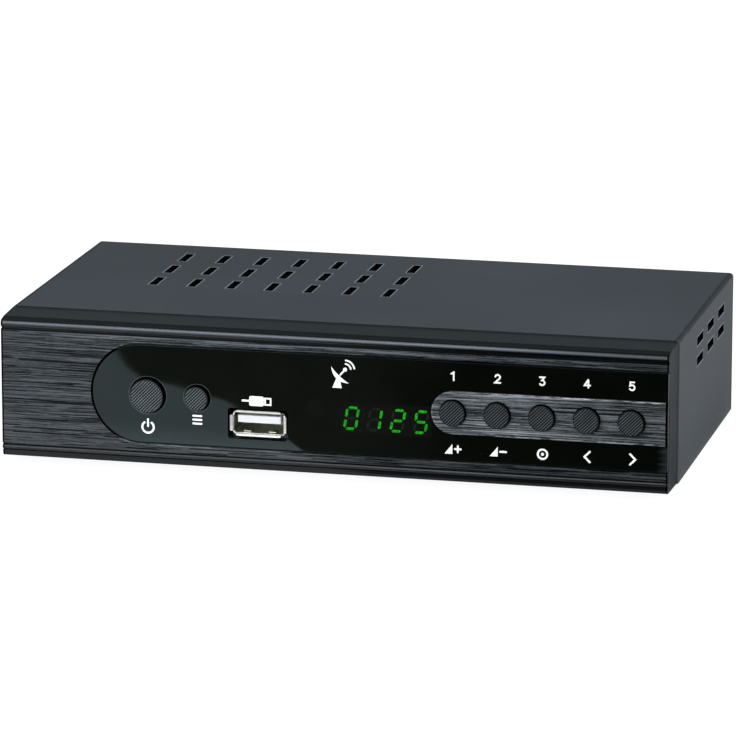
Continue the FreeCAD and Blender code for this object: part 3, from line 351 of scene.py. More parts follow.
def fascia_plastic():
    g = Graph("fascia_plastic", Specular_IOR_Level=0.17)
    shade, deep = brushed_lines(g)
    grain = g.noise(5.0, 2.0, 0.6)
    broad = g.noise((0.012, 0.02, 0.05), 2.0, 0.5)
    # the flat between the nose and the bottom ridge is brushed
    flat = g.y.ramp(FY + 0.42, FY + 0.30) * g.z.ramp(3.35 + FZ, 3.6 + FZ) * g.z.ramp(32.66 + FZ, 32.5 + FZ)
    low = g.y.ramp(FY + 0.9, FY + 0.7) * g.z.ramp(3.6 + FZ, 3.4 + FZ)
    b = g.colour(shade, (0.41, lin(24, 27, 30)), (0.46, lin(40, 44, 48)), (0.50, lin(54, 59, 63)), (0.545, lin(64, 70, 75)), (0.60, lin(74, 81, 86)))
    b = g.mix(deep, b, (0.0, 0.0, 0.0, 1))
    # painted shade: the brushed front darkens towards its right end, less near the bottom, and along its lower left
    b = g.mix(g.x.ramp(-70.0, 84.0) * (0.32 - g.z.ramp(8.0 + FZ, 5.0 + FZ) * 0.12), b, lin(3, 4, 4))
    b = g.mix(g.z.ramp(9.0 + FZ, 4.0 + FZ) * g.x.ramp(-5.0, -50.0) * 0.24, b, lin(3, 4, 4))
    smooth = g.colour(grain * 0.5 + broad * 0.5, (0.3, lin(24, 27, 30)), (0.7, lin(35, 40, 43)))
    # painted shade: the low band takes a darker copy of the brushed colour, darker still towards the right
    low_band_shade = g.colour(shade, (0.42, lin(8, 9, 10)), (0.52, lin(20, 22, 24)), (0.60, lin(46, 50, 53)))
    low_band_shade = g.mix(g.x.ramp(-70.0, 84.0) * 0.35, low_band_shade, lin(3, 4, 4))
    # painted shade: the step down to the nose is painted darker than the roof
    step = g.y.ramp(FY + 3.25, FY + 2.85) * g.z.ramp(33.5 + FZ, 34.0 + FZ)
    smooth = g.mix(step * 0.85, smooth, lin(5, 6, 6))
    base = g.mix(flat, smooth, b)
    base = g.mix(low, base, low_band_shade)
    # painted highlight: a fine bright band runs along the top of the nose
    lip = g.z.ramp(33.95 + FZ, 34.05 + FZ) * g.z.ramp(34.36 + FZ, 34.26 + FZ) * g.y.ramp(FY + 1.0, FY + 0.8)
    base = g.mix(lip * 0.85, base, lin(60, 66, 71))
    # painted shade: the lowest band, where it turns under, is painted dark
    under = g.z.ramp(1.95 + FZ, 1.75 + FZ)
    base = g.mix(under * 0.9, base, lin(17, 19, 21))
    # the band over the lens: painted highlight towards its left end, painted shade towards its right end
    top = flat * g.z.ramp(31.3 + FZ, 31.8 + FZ)
    base = g.mix(top * shade.ramp(0.40, 0.52) * g.x.ramp(-82.0, -52.0) * 0.45, base, lin(116, 124, 130))
    base = g.mix(top * g.x.ramp(20.0, 72.0) * 0.42, base, lin(3, 4, 4))
    # the groove under the nose gets little light at its right end
    gap = g.z.ramp(32.62 + FZ, 32.74 + FZ) * g.z.ramp(33.92 + FZ, 33.82 + FZ) * g.y.ramp(FY + 1.6, FY + 1.4)
    base = g.mix(gap * (0.15 + g.x.ramp(-20.0, 50.0) * 0.50), base, (0.0, 0.0, 0.0, 1))
    # painted shade as a dark line round the lens, and a ragged painted highlight along its top and bottom edges, fading
    # to the right
    d = stadium(g, LENS_X, LENS_MID, LENS_R)
    arc = (g.z - LENS_MID).abs().ramp(11.9, 10.8)
    line = (d.ramp(0.42, 0.30).max(d.ramp(0.54, 0.42) * arc)) * flat * (0.45 + arc * 0.55)
    edge = d.ramp(0.34, 0.42) * d.ramp(0.70, 0.56) * flat
    ragged_highlight = g.noise((0.14, 0.3, 1.6), 3.0, 0.7).ramp(0.46, 0.60) * (g.z - LENS_MID).abs().ramp(10.5, 12.3) * g.x.ramp(-20.0, 35.0, 1.0, 0.3)
    base = g.mix(edge * ragged_highlight * 0.6, base, lin(112, 118, 122))
    base = g.mix(line, base, (0.0, 0.0, 0.0, 1))
    # shadowed line where the front turns the corner
    corner = g.x.abs().ramp(83.95, 84.10) * g.y.ramp(FY + 1.7, FY + 1.3)
    base = g.mix(corner * 0.95, base, lin(4, 4, 5))
    # the nose is a thin metallised bead, dark in itself
    nose = g.y.ramp(FY + 1.15, FY + 0.95) * g.z.ramp(33.9 + FZ, 34.0 + FZ) * g.x.abs().ramp(84.0, 83.9)
    base = g.mix(nose * (1.0 - lip), base, (0.050, 0.053, 0.058, 1))
    # painted shade dims the nose towards its right end
    base = g.mix(nose * (1.0 - lip) * g.x.ramp(40.0, 72.0) * 0.40, base, (0.0, 0.0, 0.0, 1))
    # the ends of the fascia are matt, and given a cooler tone as a painted reflection of the cool light
    end = g.x.abs().ramp(84.3, 84.6)
    base = g.mix(end * 0.35, base, lin(26, 34, 40))
    metal_mask = (nose * (1.0 - lip)).max(line).max(deep * flat).max(corner).max(under * 0.3).max(gap * g.x.ramp(-20.0, 50.0) * 0.5)
    g.link(metal_mask.s, g.bsdf.inputs["Metallic"])
    rough_flat = shade.lin(0.3, 0.7, 0.22, 0.16)
    mask = (flat + low).min(1.0)
    rough = rough_flat * mask + (1.0 - mask) * grain.lin(0.3, 0.7, 0.31, 0.38) + end * 0.20
    n = g.bump((shade * 0.6 - deep * 0.6) * mask, 0.010)
    n = g.bump(grain * (1.0 - mask), 0.006, n)
    return g.finish(base, rough, n)


def strip_brushed():
    g = Graph("strip_brushed", Specular_IOR_Level=0.16)
    shade, deep = brushed_lines(g, 11.3, 0.01)
    b = g.colour(shade, (0.41, lin(36, 39, 42)), (0.46, lin(73, 78, 82)), (0.50, lin(99, 106, 111)), (0.545, lin(121, 129, 134)), (0.60, lin(146, 154, 160)))
    b = g.mix(deep, b, (0.0, 0.0, 0.0, 1))
    # painted shade: the strip's right end is painted black and metallic
    right_end_shade = g.x.ramp(83.78, 83.92)
    g.link((deep * 0.9).max(right_end_shade).s, g.bsdf.inputs["Metallic"])
    # painted shade: the strip darkens towards its right end and a little at its left
    b = g.mix(g.x.ramp(34.0, 82.0) * 0.60 + g.x.ramp(48.0, 30.0) * 0.22, b, lin(6, 7, 8))
    # painted highlight in a ragged band just inside the strip's outline, weaker towards the left
    d = stadium(g, 30.95, LENS_Z, 5.5)
    ragged_highlight = g.noise((0.30, 0.3, 2.2), 2.0, 0.6, shift=(2, 0, 4)).ramp(0.42, 0.56)
    b = g.mix(d.ramp(-0.55, -0.30) * ragged_highlight * (g.x.ramp(36.0, 50.0) * 0.5 + 0.3), b, lin(146, 151, 156))
    # painted shade as a dark line at the very edge of the strip
    b = g.mix(d.ramp(-0.16, -0.04) * 0.8, b, lin(20, 21, 23))
    b = g.mix(right_end_shade, b, (0.0, 0.0, 0.0, 1))
    n = g.bump(shade * 0.6 - deep * 0.6, 0.03)
    return g.finish(b, shade.lin(0.3, 0.7, 0.32, 0.22), n)


def lens_black():
    g = Graph("lens_black", Specular_IOR_Level=0.40, Specular_Tint=(0.68, 0.92, 1.0, 1))
    haze = g.noise(0.05, 3.0, 0.55)
    dust = g.cells(0.45).ramp(0.07, 0.03) * g.noise(0.04, 1.0, shift=(4, 4, 4)).ramp(0.52, 0.6)
    base = g.colour(haze, (0.35, lin(11, 13, 10)), (0.65, lin(14, 17, 13)))
    # painted shade: the lens darkens towards the right
    base = g.mix(g.x.ramp(-8.0, 45.0) * 0.5, base, (0.0, 0.0, 0.0, 1))
    # windows of the display and the remote eye show faintly through the tint
    dw = (g.x - 14.2).abs() - 11.5
    dh = (g.z - (15.0 + FZ)).abs() - 3.9
    win = dw.max(dh).ramp(0.12, -0.12)
    ex = g.x + 3.7
    ez = g.z - (17.0 + FZ)
    eye = (ex * ex + ez * ez).sqrt().ramp(2.55, 2.35)
    base = g.mix((win + eye).min(1.0) * 0.5, base, lin(19, 20, 18))
    # the tint thins towards the lower right corner, where the hairline sheet shows through
    shade, deep = brushed_lines(g, 2.0)
    thin = g.x.ramp(81.2, 83.9) * g.z.ramp(12.6 + FZ, 11.6 + FZ)
    lines = g.colour(shade, (0.42, lin(5, 6, 6)), (0.50, lin(14, 16, 16)), (0.60, lin(44, 48, 49)))
    base = g.mix(thin * 0.8, base, lines)
    base = g.mix(dust * 0.18, base, lin(90, 92, 94))
    # painted highlight round the edge of the two left key holes
    for cx, hole in ((-46.6, 4.7), (-33.93, 3.4)):
        hx = g.x - cx
        hz = g.z - LENS_Z
        ring = (hx * hx + hz * hz).sqrt() - hole
        ring = ring.ramp(0.24, 0.14) * g.y.ramp(LENS_FACE + 0.2, LENS_FACE + 0.1)
        base = g.mix(ring * 0.65, base, lin(92, 98, 102))
    rim = stadium(g, LENS_X, LENS_MID, LENS_R).ramp(-0.22, -0.10) * g.x.ramp(-45.0, 25.0, 0.15, 0.6)
    # painted shade: the lens's outer edge is painted black and metallic so it stays dark
    edge = stadium(g, LENS_X, LENS_MID, LENS_R).ramp(-0.20, -0.08)
    base = g.mix(edge, base, (0.0, 0.0, 0.0, 1))
    g.link((edge * 0.75).s, g.bsdf.inputs["Metallic"])
    rough = haze.lin(0.3, 0.7, 0.035, 0.075) + thin * 0.25 + rim
    n = g.bump(g.noise(0.09, 2.0, 0.5), 0.010)
    return g.finish(base, rough, n)


def key_plastic():
    g = Graph("key_plastic", Specular_IOR_Level=0.13)
    grain = g.noise(7.0, 3.0, 0.6)
    broad = g.noise(0.35, 2.0, 0.5)
    base = g.colour(grain * 0.5 + broad * 0.5, (0.3, lin(86, 95, 99)), (0.5, lin(102, 112, 117)), (0.72, lin(118, 130, 135)))
    # painted shade: the grooves and the side of the cap are painted darker than the tops of the knurl, and the keys
    # darker towards the right
    sunk = g.y.ramp(FY - 1.475, FY - 1.37)
    base = g.mix(g.x.ramp(-62.0, 32.0) * 0.44, base, lin(6, 8, 9))
    base = g.mix(sunk * 0.92, base, lin(6, 7, 7))
    # painted shade: the cap's skirt is painted near-black and metallic
    skirt_shade = g.y.ramp(FY - 1.365, FY - 1.285)
    base = g.mix(skirt_shade, base, (0.0008, 0.0009, 0.001, 1))
    g.link((skirt_shade * 0.9).s, g.bsdf.inputs["Metallic"])
    return g.finish(base, grain.lin(0.3, 0.7, 0.42, 0.58), g.bump(grain, 0.010))


def moulded(name, dark, light, rough=(0.38, 0.55), scale=2.2, depth=0.02, spec=0.45):
    g = Graph(name, Specular_IOR_Level=spec)
    grain = g.noise(scale, 3.0, 0.6)
    broad = g.noise(0.08, 2.0, 0.5)
    fine = g.cells(scale * 1.4)
    base = g.colour(grain * 0.5 + broad * 0.5, (0.3, dark), (0.7, light))
    return g.finish(base, grain.lin(0.3, 0.7, rough[0], rough[1]), g.bump(grain * 0.6 + fine * 0.4, depth))


def metal(name, dark, light, rough=(0.18, 0.34), scale=(0.6, 0.6, 0.6), scratch=(9.0, 0.4, 9.0), depth=0.006):
    g = Graph(name, Metallic=1.0)
    tone = g.noise(scale, 3.0, 0.6)
    lines = g.noise(scratch, 3.0, 0.65)
    marks = g.noise((0.5, 6.0, 0.5), 3.0, 0.6, shift=(9, 2, 4)).ramp(0.60, 0.68)
    base = g.colour(tone * 0.55 + lines * 0.45, (0.3, dark), (0.7, light))
    base = g.mix(marks * 0.22, base, dark)
    if name == "nickel":
        # painted shade inside the memory-stick socket: its walls and springs are painted a darker olive, and the walls
        # are duller than its lips and springs
        shaded_wall = (g.z - (11.95 + FZ)).abs().ramp(2.50, 2.56).max((g.x + 18.46).abs().ramp(6.20, 6.26))
        shaded_wall = shaded_wall * g.y.ramp(FY + 1.7, FY + 2.3) * g.y.ramp(FY + 14.7, FY + 14.2)
        spring = (g.z - (11.95 + FZ)).abs().ramp(1.84, 1.88) * (g.x + 18.46).abs().ramp(6.2, 6.0)
        spring = spring * g.y.ramp(FY + 1.7, FY + 2.1) * g.y.ramp(FY + 14.7, FY + 14.2)
        base = g.mix(shaded_wall * 0.9, base, (0.36, 0.36, 0.27, 1))
        base = g.mix(spring * 0.8, base, (0.34, 0.35, 0.25, 1))
    shine = (tone * 0.5 + lines * 0.5).lin(0.3, 0.7, rough[0], rough[1])
    if name == "nickel":
        # the splayed lips of that socket are satin
        shine = shine + g.y.ramp(FY + 1.25, FY + 1.05) * (g.x + 18.46).abs().ramp(8.5, 8.0) * 0.38 + shaded_wall * 0.32
    return g.finish(base, shine, g.bump(lines, depth))


def tray_steel():
    g = Graph("tray_steel", Specular_IOR_Level=0.32)
    grain = g.noise(3.6, 3.0, 0.65)
    broad = g.noise(0.02, 3.0, 0.5)
    scuff = g.noise((0.05, 1.6, 1.6), 3.0, 0.6).ramp(0.62, 0.7)
    base = g.colour(grain * 0.6 + broad * 0.4, (0.3, lin(38, 42, 46)), (0.7, lin(54, 59, 63)))
    base = g.mix(scuff * 0.12, base, lin(100, 104, 108))
    return g.finish(base, grain.lin(0.3, 0.7, 0.46, 0.6), g.bump(grain, 0.02))


def board_laminate():
    g = Graph("board_laminate", Specular_IOR_Level=0.5)
    weave = g.noise((2.0, 2.0, 2.0), 2.0, 0.5)
    u = (g.x * 0.6).fract() - 0.5
    v = (g.y * 0.6).fract() - 0.5
    pick = g.noise((0.08, 0.25, 0.25), 1.0).ramp(0.49, 0.53)
    pick2 = g.noise((0.25, 0.08, 0.25), 1.0, shift=(5, 5, 5)).ramp(0.49, 0.53)
    trace = (v.abs().ramp(0.16, 0.10) * pick).max(u.abs().ramp(0.16, 0.10) * pick2)
    base = g.colour(weave, (0.3, lin(10, 52, 26)), (0.7, lin(16, 66, 34)))
    base = g.mix(trace * 0.8, base, lin(30, 96, 50))
    pads = g.cells(0.4).ramp(0.20, 0.16)
    base = g.mix(pads * 0.8, base, lin(176, 178, 176))
    return g.finish(base, weave.lin(0.3, 0.7, 0.28, 0.42), g.bump(trace * 0.7 + weave * 0.2, 0.03))


def display_epoxy():
    g = Graph("display_epoxy", Specular_IOR_Level=0.5)
    t = g.noise(1.2, 3.0, 0.6)
    base = g.colour(t, (0.3, lin(24, 25, 26)), (0.7, lin(38, 39, 40)))
    return g.finish(base, t.lin(0.3, 0.7, 0.12, 0.24), g.bump(t, 0.01))


def capacitor_sleeve():
    g = Graph("capacitor_sleeve", Specular_IOR_Level=0.5)
    t = g.noise(0.8, 2.0)
    top = g.z.ramp(17.2 + FZ, 17.4 + FZ)
    band = (g.x * 0.9).fract().ramp(0.86, 0.9)
    base = g.colour(t, (0.3, lin(16, 20, 34)), (0.7, lin(26, 32, 50)))
    base = g.mix(band * 0.7, base, lin(150, 154, 160))
    base = g.mix(top * 0.8, base, lin(150, 152, 154))
    return g.finish(base, t.lin(0.3, 0.7, 0.22, 0.36), g.bump(t, 0.02))


def foot_rubber():
    g = Graph("foot_rubber", Specular_IOR_Level=0.3)
    t = g.noise(2.6, 4.0, 0.65)
    w = g.noise(0.2, 2.0)
    dust = g.z.ramp(0.9, 0.1) * w.ramp(0.42, 0.62)
    base = g.colour(t, (0.3, lin(20, 20, 21)), (0.7, lin(36, 36, 37)))
    base = g.mix(dust * 0.25, base, lin(104, 102, 98))
    return g.finish(base, t.lin(0.3, 0.7, 0.68, 0.86), g.bump(t, 0.04))


def print_white():
    g = Graph("print_white", Specular_IOR_Level=0.4)
    t = g.noise(5.0, 3.0, 0.6)
    base = g.colour(t, (0.3, lin(226, 229, 230)), (0.7, lin(250, 251, 251)))
    return g.finish(base, t.lin(0.3, 0.7, 0.36, 0.5), g.bump(t, 0.004))


def lit_green():
    g = Graph("segment_lit", Specular_IOR_Level=0.5)
    t = g.noise(1.6, 2.0, 0.5)
    base = g.colour(t, (0.3, lin(6, 24, 6)), (0.7, lin(8, 32, 8)))
    glow = g.colour(t, (0.32, lin(12, 118, 12)), (0.5, lin(20, 156, 20)), (0.68, lin(50, 188, 42)))
    g.link(glow, g.bsdf.inputs["Emission Color"])
    g.bsdf.inputs["Emission Strength"].default_value = 1.0
    return g.finish(base, t.lin(0.3, 0.7, 0.05, 0.09))


def dark_segment():
    g = Graph("segment_dark", Specular_IOR_Level=0.5)
    t = g.noise(1.6, 2.0, 0.5)
    base = g.colour(t, (0.3, lin(21, 25, 20)), (0.7, lin(28, 33, 27)))
    return g.finish(base, t.lin(0.3, 0.7, 0.05, 0.09))


MATS = {
    "case_paint": case_paint(),
    "tray_steel": tray_steel(),
    "fascia_plastic": fascia_plastic(),
    "lens_black": lens_black(),
    "strip_brushed": strip_brushed(),
    "key_plastic": key_plastic(),
    "plunger_plastic": moulded("plunger_plastic", lin(40, 41, 42), lin(60, 61, 62)),
    "black_plastic": moulded("black_plastic", lin(22, 23, 24), lin(36, 37, 39)),
    "white_plastic": moulded("white_plastic", lin(204, 205, 212), lin(220, 221, 228), (0.30, 0.45), 1.6, 0.012),
    "orange_plastic": moulded("orange_plastic", lin(206, 104, 26), lin(232, 132, 44)),
    "board_laminate": board_laminate(),
    "display_epoxy": display_epoxy(),
    "nickel": metal("nickel", (0.50, 0.49, 0.46, 1), (0.80, 0.79, 0.76, 1), (0.12, 0.26)),
    "tinned_steel": metal("tinned_steel", (0.40, 0.41, 0.41, 1), (0.66, 0.67, 0.67, 1), (0.28, 0.46), (0.4, 0.4, 0.4), (3, 3, 0.3), 0.01),
    "zinc_steel": metal("zinc_steel", (0.42, 0.42, 0.40, 1), (0.68, 0.68, 0.66, 1), (0.26, 0.42)),
    "black_steel": metal("black_steel", (0.035, 0.036, 0.04, 1), (0.10, 0.102, 0.108, 1), (0.30, 0.46), depth=0.01),
    "gold_contact": metal("gold_contact", (0.62, 0.42, 0.14, 1), (0.90, 0.70, 0.34, 1), (0.14, 0.28)),
    "chip_epoxy": moulded("chip_epoxy", lin(34, 34, 36), lin(50, 50, 52), (0.5, 0.68), 3.0, 0.02),
    "heat_sink_aluminium": metal("heat_sink_aluminium", (0.10, 0.105, 0.11, 1), (0.22, 0.225, 0.235, 1), (0.3, 0.48), scratch=(0.4, 0.4, 7.0), depth=0.01),
    "capacitor_sleeve": capacitor_sleeve(),
    "ferrite": moulded("ferrite", lin(56, 57, 60), lin(84, 85, 88), (0.5, 0.66), 2.6, 0.03),
    "foot_rubber": foot_rubber(),
    "print_white": print_white(),
    "segment_lit": lit_green(),
    "segment_dark": dark_segment(),
}

SLOT_OF = {}
for name, which in (
    ("case_paint", "top_cover"), ("tray_steel", "bottom_tray"), ("fascia_plastic", "front_fascia"),
    ("lens_black", "display_lens"), ("strip_brushed", "button_trim_strip"),
    ("black_plastic", "switch_bodies infrared_receiver board_link_header hdmi_tongue av_jack dc_inlet"),
    ("board_laminate", "front_board main_board"), ("display_epoxy", "display_module"),
    ("zinc_steel", "front_board_screws board_standoffs board_screws"),
    ("black_steel", "cover_screws"),
    ("nickel", "usb_shell clock_crystal lnb_in_connector lnb_loop_connector f_nuts hdmi_shell coax_audio_barrel dc_inlet_pin"),
    ("tinned_steel", "tuner_frame tuner_lid"), ("gold_contact", "usb_contacts board_link_pins f_contacts hdmi_contacts"),
    ("chip_epoxy", "main_processor memory_chips"), ("heat_sink_aluminium", "heat_sink"),
    ("capacitor_sleeve", "electrolytic_capacitors"), ("ferrite", "power_inductors"),
    ("white_plastic", "usb_tongue f_insulators coax_audio_insulator"), ("orange_plastic", "coax_audio_block"),
    ("foot_rubber", "rubber_feet"),
):
    for n in which.split():
        SLOT_OF[n] = name
for n, _, _ in KEYS:
    SLOT_OF[n + "_key"] = "key_plastic"
    SLOT_OF[n + "_switch_plunger"] = "plunger_plastic"
for n, o in NODES.items():
    mat = MATS[SLOT_OF[n]]
    for s in o.material_slots:
        s.material = mat
    if not o.material_slots:
        o.data.materials.append(mat)


# ------------------------------------------------------------ mesh helpers

def add_mesh(name, verts, faces, slot, body="case", replaces=(), angle=38.0, mat=None):
    """A piece from points in mm and faces."""
    me = bpy.data.meshes.new(name)
    me.from_pydata([(x * MM, y * MM, z * MM) for x, y, z in verts], [], faces)
    me.validate()
    me.update()
    me.polygons.foreach_set("use_smooth", [True] * len(me.polygons))
    me.set_sharp_from_angle(angle=math.radians(angle))
    ob = bpy.data.objects.new(name, me)
    bpy.context.scene.collection.objects.link(ob)
    me.materials.append(mat or MATS[slot])
    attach(ob, body)
    if replaces:
        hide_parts(*replaces)
    return ob


def join(parts):
    """Parts are (verts, faces) pairs."""
    vs, fs = [], []
    for v, f in parts:
        k = len(vs)
        vs += list(v)
        fs += [tuple(i + k for i in face) for face in f]
    return vs, fs


def lathe(profile, cx, cz, n=64, radius=None):
    """Turned about Y.  profile: (y, r) in mm.  r 0 closes an end.  radius(y, r, angle) may give another r or (y, r)."""
    verts, faces, rings = [], [], []
    for y, r in profile:
        if r <= 0:
            rings.append([len(verts)])
            verts.append((cx, y, cz))
        else:
            ring = []
            for i in range(n):
                a = 2 * math.pi * i / n
                at = radius(y, r, a) if radius else r
                yy, rr = at if isinstance(at, tuple) else (y, at)
                ring.append(len(verts))
                verts.append((cx + rr * math.cos(a), yy, cz + rr * math.sin(a)))
            rings.append(ring)
    for p, q in zip(rings, rings[1:]):
        if len(p) == 1 and len(q) == 1:
            continue
        for i in range(n):
            j = (i + 1) % n
            if len(p) == 1:
                faces.append((p[0], q[i], q[j]))
            elif len(q) == 1:
                faces.append((p[i], q[0], p[j]))
            else:
                faces.append((p[i], q[i], q[j], p[j]))
    return verts, faces


# ------------------------------------------------------------ keys

def key_piece(name, cx, r):
    """A push key: knurled face, rounded edge, shank, flange and boss."""
    edge = 0.20
    rf = r - edge
    n = 2 * round(rf / 0.088 / 2) * 2
    pitch_u, pitch_v, depth = 0.55, 0.58, 0.22
    k = n + 1
    verts, faces = [], []
    for j in range(k):
        for i in range(k):
            u, v = 2 * i / n - 1, 2 * j / n - 1
            x = rf * u * math.sqrt(1 - v * v / 2)
            z = rf * v * math.sqrt(1 - u * u / 2)
            p, q = (x + z) / math.sqrt(2) / pitch_u, (x - z) / math.sqrt(2) / pitch_v
            gp = abs(2 * (p - math.floor(p)) - 1)
            gq = abs(2 * (q - math.floor(q)) - 1)
            sink = max(gp ** 1.2 * 0.6, gq ** 1.2)
            rr = math.hypot(x, z)
            t = min(1.0, max(0.0, (rf - 0.02 - rr) / 0.10))
            verts.append((cx + x, FY - 1.5 + depth * sink * t + 0.12 * (1 - t), LENS_Z + z))
    for j in range(n):
        for i in range(n):
            a = j * k + i
            faces.append((a, a + 1, a + k + 1, a + k))
    ring = [i for i in range(n)] + [j * k + n for j in range(n)] + [n * k + i for i in range(n, 0, -1)] + [j * k for j in range(n, 0, -1)]
    angles = [math.atan2(verts[i][2] - LENS_Z, verts[i][0] - cx) for i in ring]
    prof = [(-1.38 + (edge - 0.12) * (1 - math.cos(math.radians(t))), rf + edge * math.sin(math.radians(t))) for t in (15, 32, 50, 70, 90)]
    fr = r + (1.2 if name == "power" else 0.95)
    prof += [(0.6, r), (3.4, r), (3.4, fr), (4.2, fr), (4.2, 1.5), (4.6, 1.5)]
    last = ring
    for y, rad in prof:
        new = []
        for a in angles:
            new.append(len(verts))
            verts.append((cx + rad * math.cos(a), FY + y, LENS_Z + rad * math.sin(a)))
        m = len(ring)
        for i in range(m):
            j = (i + 1) % m
            faces.append((last[i], new[i], new[j], last[j]))
        last = new
    faces.append(tuple(last))
    # the rings run so that the faces look outward
    faces = [tuple(reversed(f)) if idx >= n * n else f for idx, f in enumerate(faces)]
    faces = [tuple(f) for f in faces]
    return add_mesh(name + "_key_cap", verts, faces, "key_plastic", name + "_button", (name + "_key",), 60.0)


for key, kx, kr in KEYS:
    key_piece(key, kx, kr)


# ------------------------------------------------------------ threaded connectors

def thread_ridge(cx, cz, y0, y1, core, crest, pitch, n=72):
    """The raised turn of a thread, sunk a little into its core and run out at both ends."""
    turns = (y1 - y0) / pitch
    steps = int(turns * n)
    half, flat = pitch * 0.47, pitch * 0.06
    verts, faces = [], []
    for i in range(steps + 1):
        t = i / n
        a = 2 * math.pi * t
        y = y0 + pitch * t
        k = max(0.0, min(1.0, t / 0.4, (steps / n - t) / 0.3))
        top = core - 0.01 + (crest - core + 0.01) * k
        for dy, r in ((-half, core - 0.05), (-flat, top), (flat, top), (half, core - 0.05)):
            verts.append((cx + r * math.cos(a), y + dy, cz + r * math.sin(a)))
    for i in range(steps):
        for j in range(4):
            u, w = i * 4 + j, i * 4 + (j + 1) % 4
            faces.append((u, w, w + 4, u + 4))
    faces.append((3, 2, 1, 0))
    faces.append(tuple(steps * 4 + j for j in range(4)))
    return verts, faces


def f_connector(name, cx, cz, node):
    """F socket: 3/8 inch barrel, 32 threads to the inch."""
    pitch = 25.4 / 32
    r0, core = 4.76, 4.40
    start, tip = FY + 92.15, FY + 101.7
    prof = [(FY + 86.4, 3.3), (FY + 86.4, 6.2), (FY + 89.3, 6.2), (FY + 89.3, core), (tip - 0.70, core),
            (tip - 0.52, 4.70), (tip - 0.22, 4.60), (tip, core), (tip, 3.42), (tip - 0.12, 3.3), (FY + 86.4, 3.3)]
    v, f = lathe(prof, cx, cz, 96)
    v, f = join([(v, [tuple(reversed(x)) for x in f]),
                 thread_ridge(cx, cz, start + 0.40, tip - 0.95, core, r0, pitch)])
    return add_mesh(name, v, f, "nickel", "case", (node,), 32.0)


f_connector("lnb_in_barrel", 66.0, 16.5 + FZ, "lnb_in_connector")
f_connector("lnb_loop_barrel", 48.0, 16.5 + FZ, "lnb_loop_connector")


def hex_nuts():
    parts = []
    apothem = 6.6 * math.cos(math.radians(30))

    def hexr(a):
        t = (a + math.pi / 6 + math.pi / 6) % (math.pi / 3) - math.pi / 6
        return apothem / math.cos(t)

    y0, y1 = FY + 90.1, FY + 92.1
    for cx in (66.0, 48.0):
        def rad(y, r, a):
            # a cone cuts each corner, so the bevel is deep there and thin along the flats
            if r < 5.2:
                return r
            h = hexr(a)
            if y in (y0, y1):
                return min(h, apothem + 0.02) - 0.03
            c = 0.05 + max(0.0, h - apothem - 0.02) / 1.8
            return (y0 + c if y < (y0 + y1) / 2 else y1 - c), h
        prof = [(y0, 4.43), (y0, 5.7), (y0 + 0.1, 5.7), (y1 - 0.1, 5.7), (y1, 5.7), (y1, 4.9), (y1 - 0.3, 4.43), (y0, 4.43)]
        v, f = lathe(prof, cx, 16.5 + FZ, 96, rad)
        parts.append((v, [tuple(reversed(x)) for x in f]))
    v, f = join(parts)
    add_mesh("f_hex_nuts", v, f, "nickel", "case", ("f_nuts",), 24.0)


hex_nuts()


# ------------------------------------------------------------ USB socket shell

def rounded_rect(hx, hz, r, n=6):
    pts = []
    for cx, cz, a0 in ((hx - r, hz - r, 0), (-hx + r, hz - r, 90), (-hx + r, -hz + r, 180), (hx - r, -hz + r, 270)):
        for i in range(n + 1):
            a = math.radians(a0 + 90.0 * i / n)
            pts.append((cx + r * math.cos(a), cz + r * math.sin(a)))
    return pts


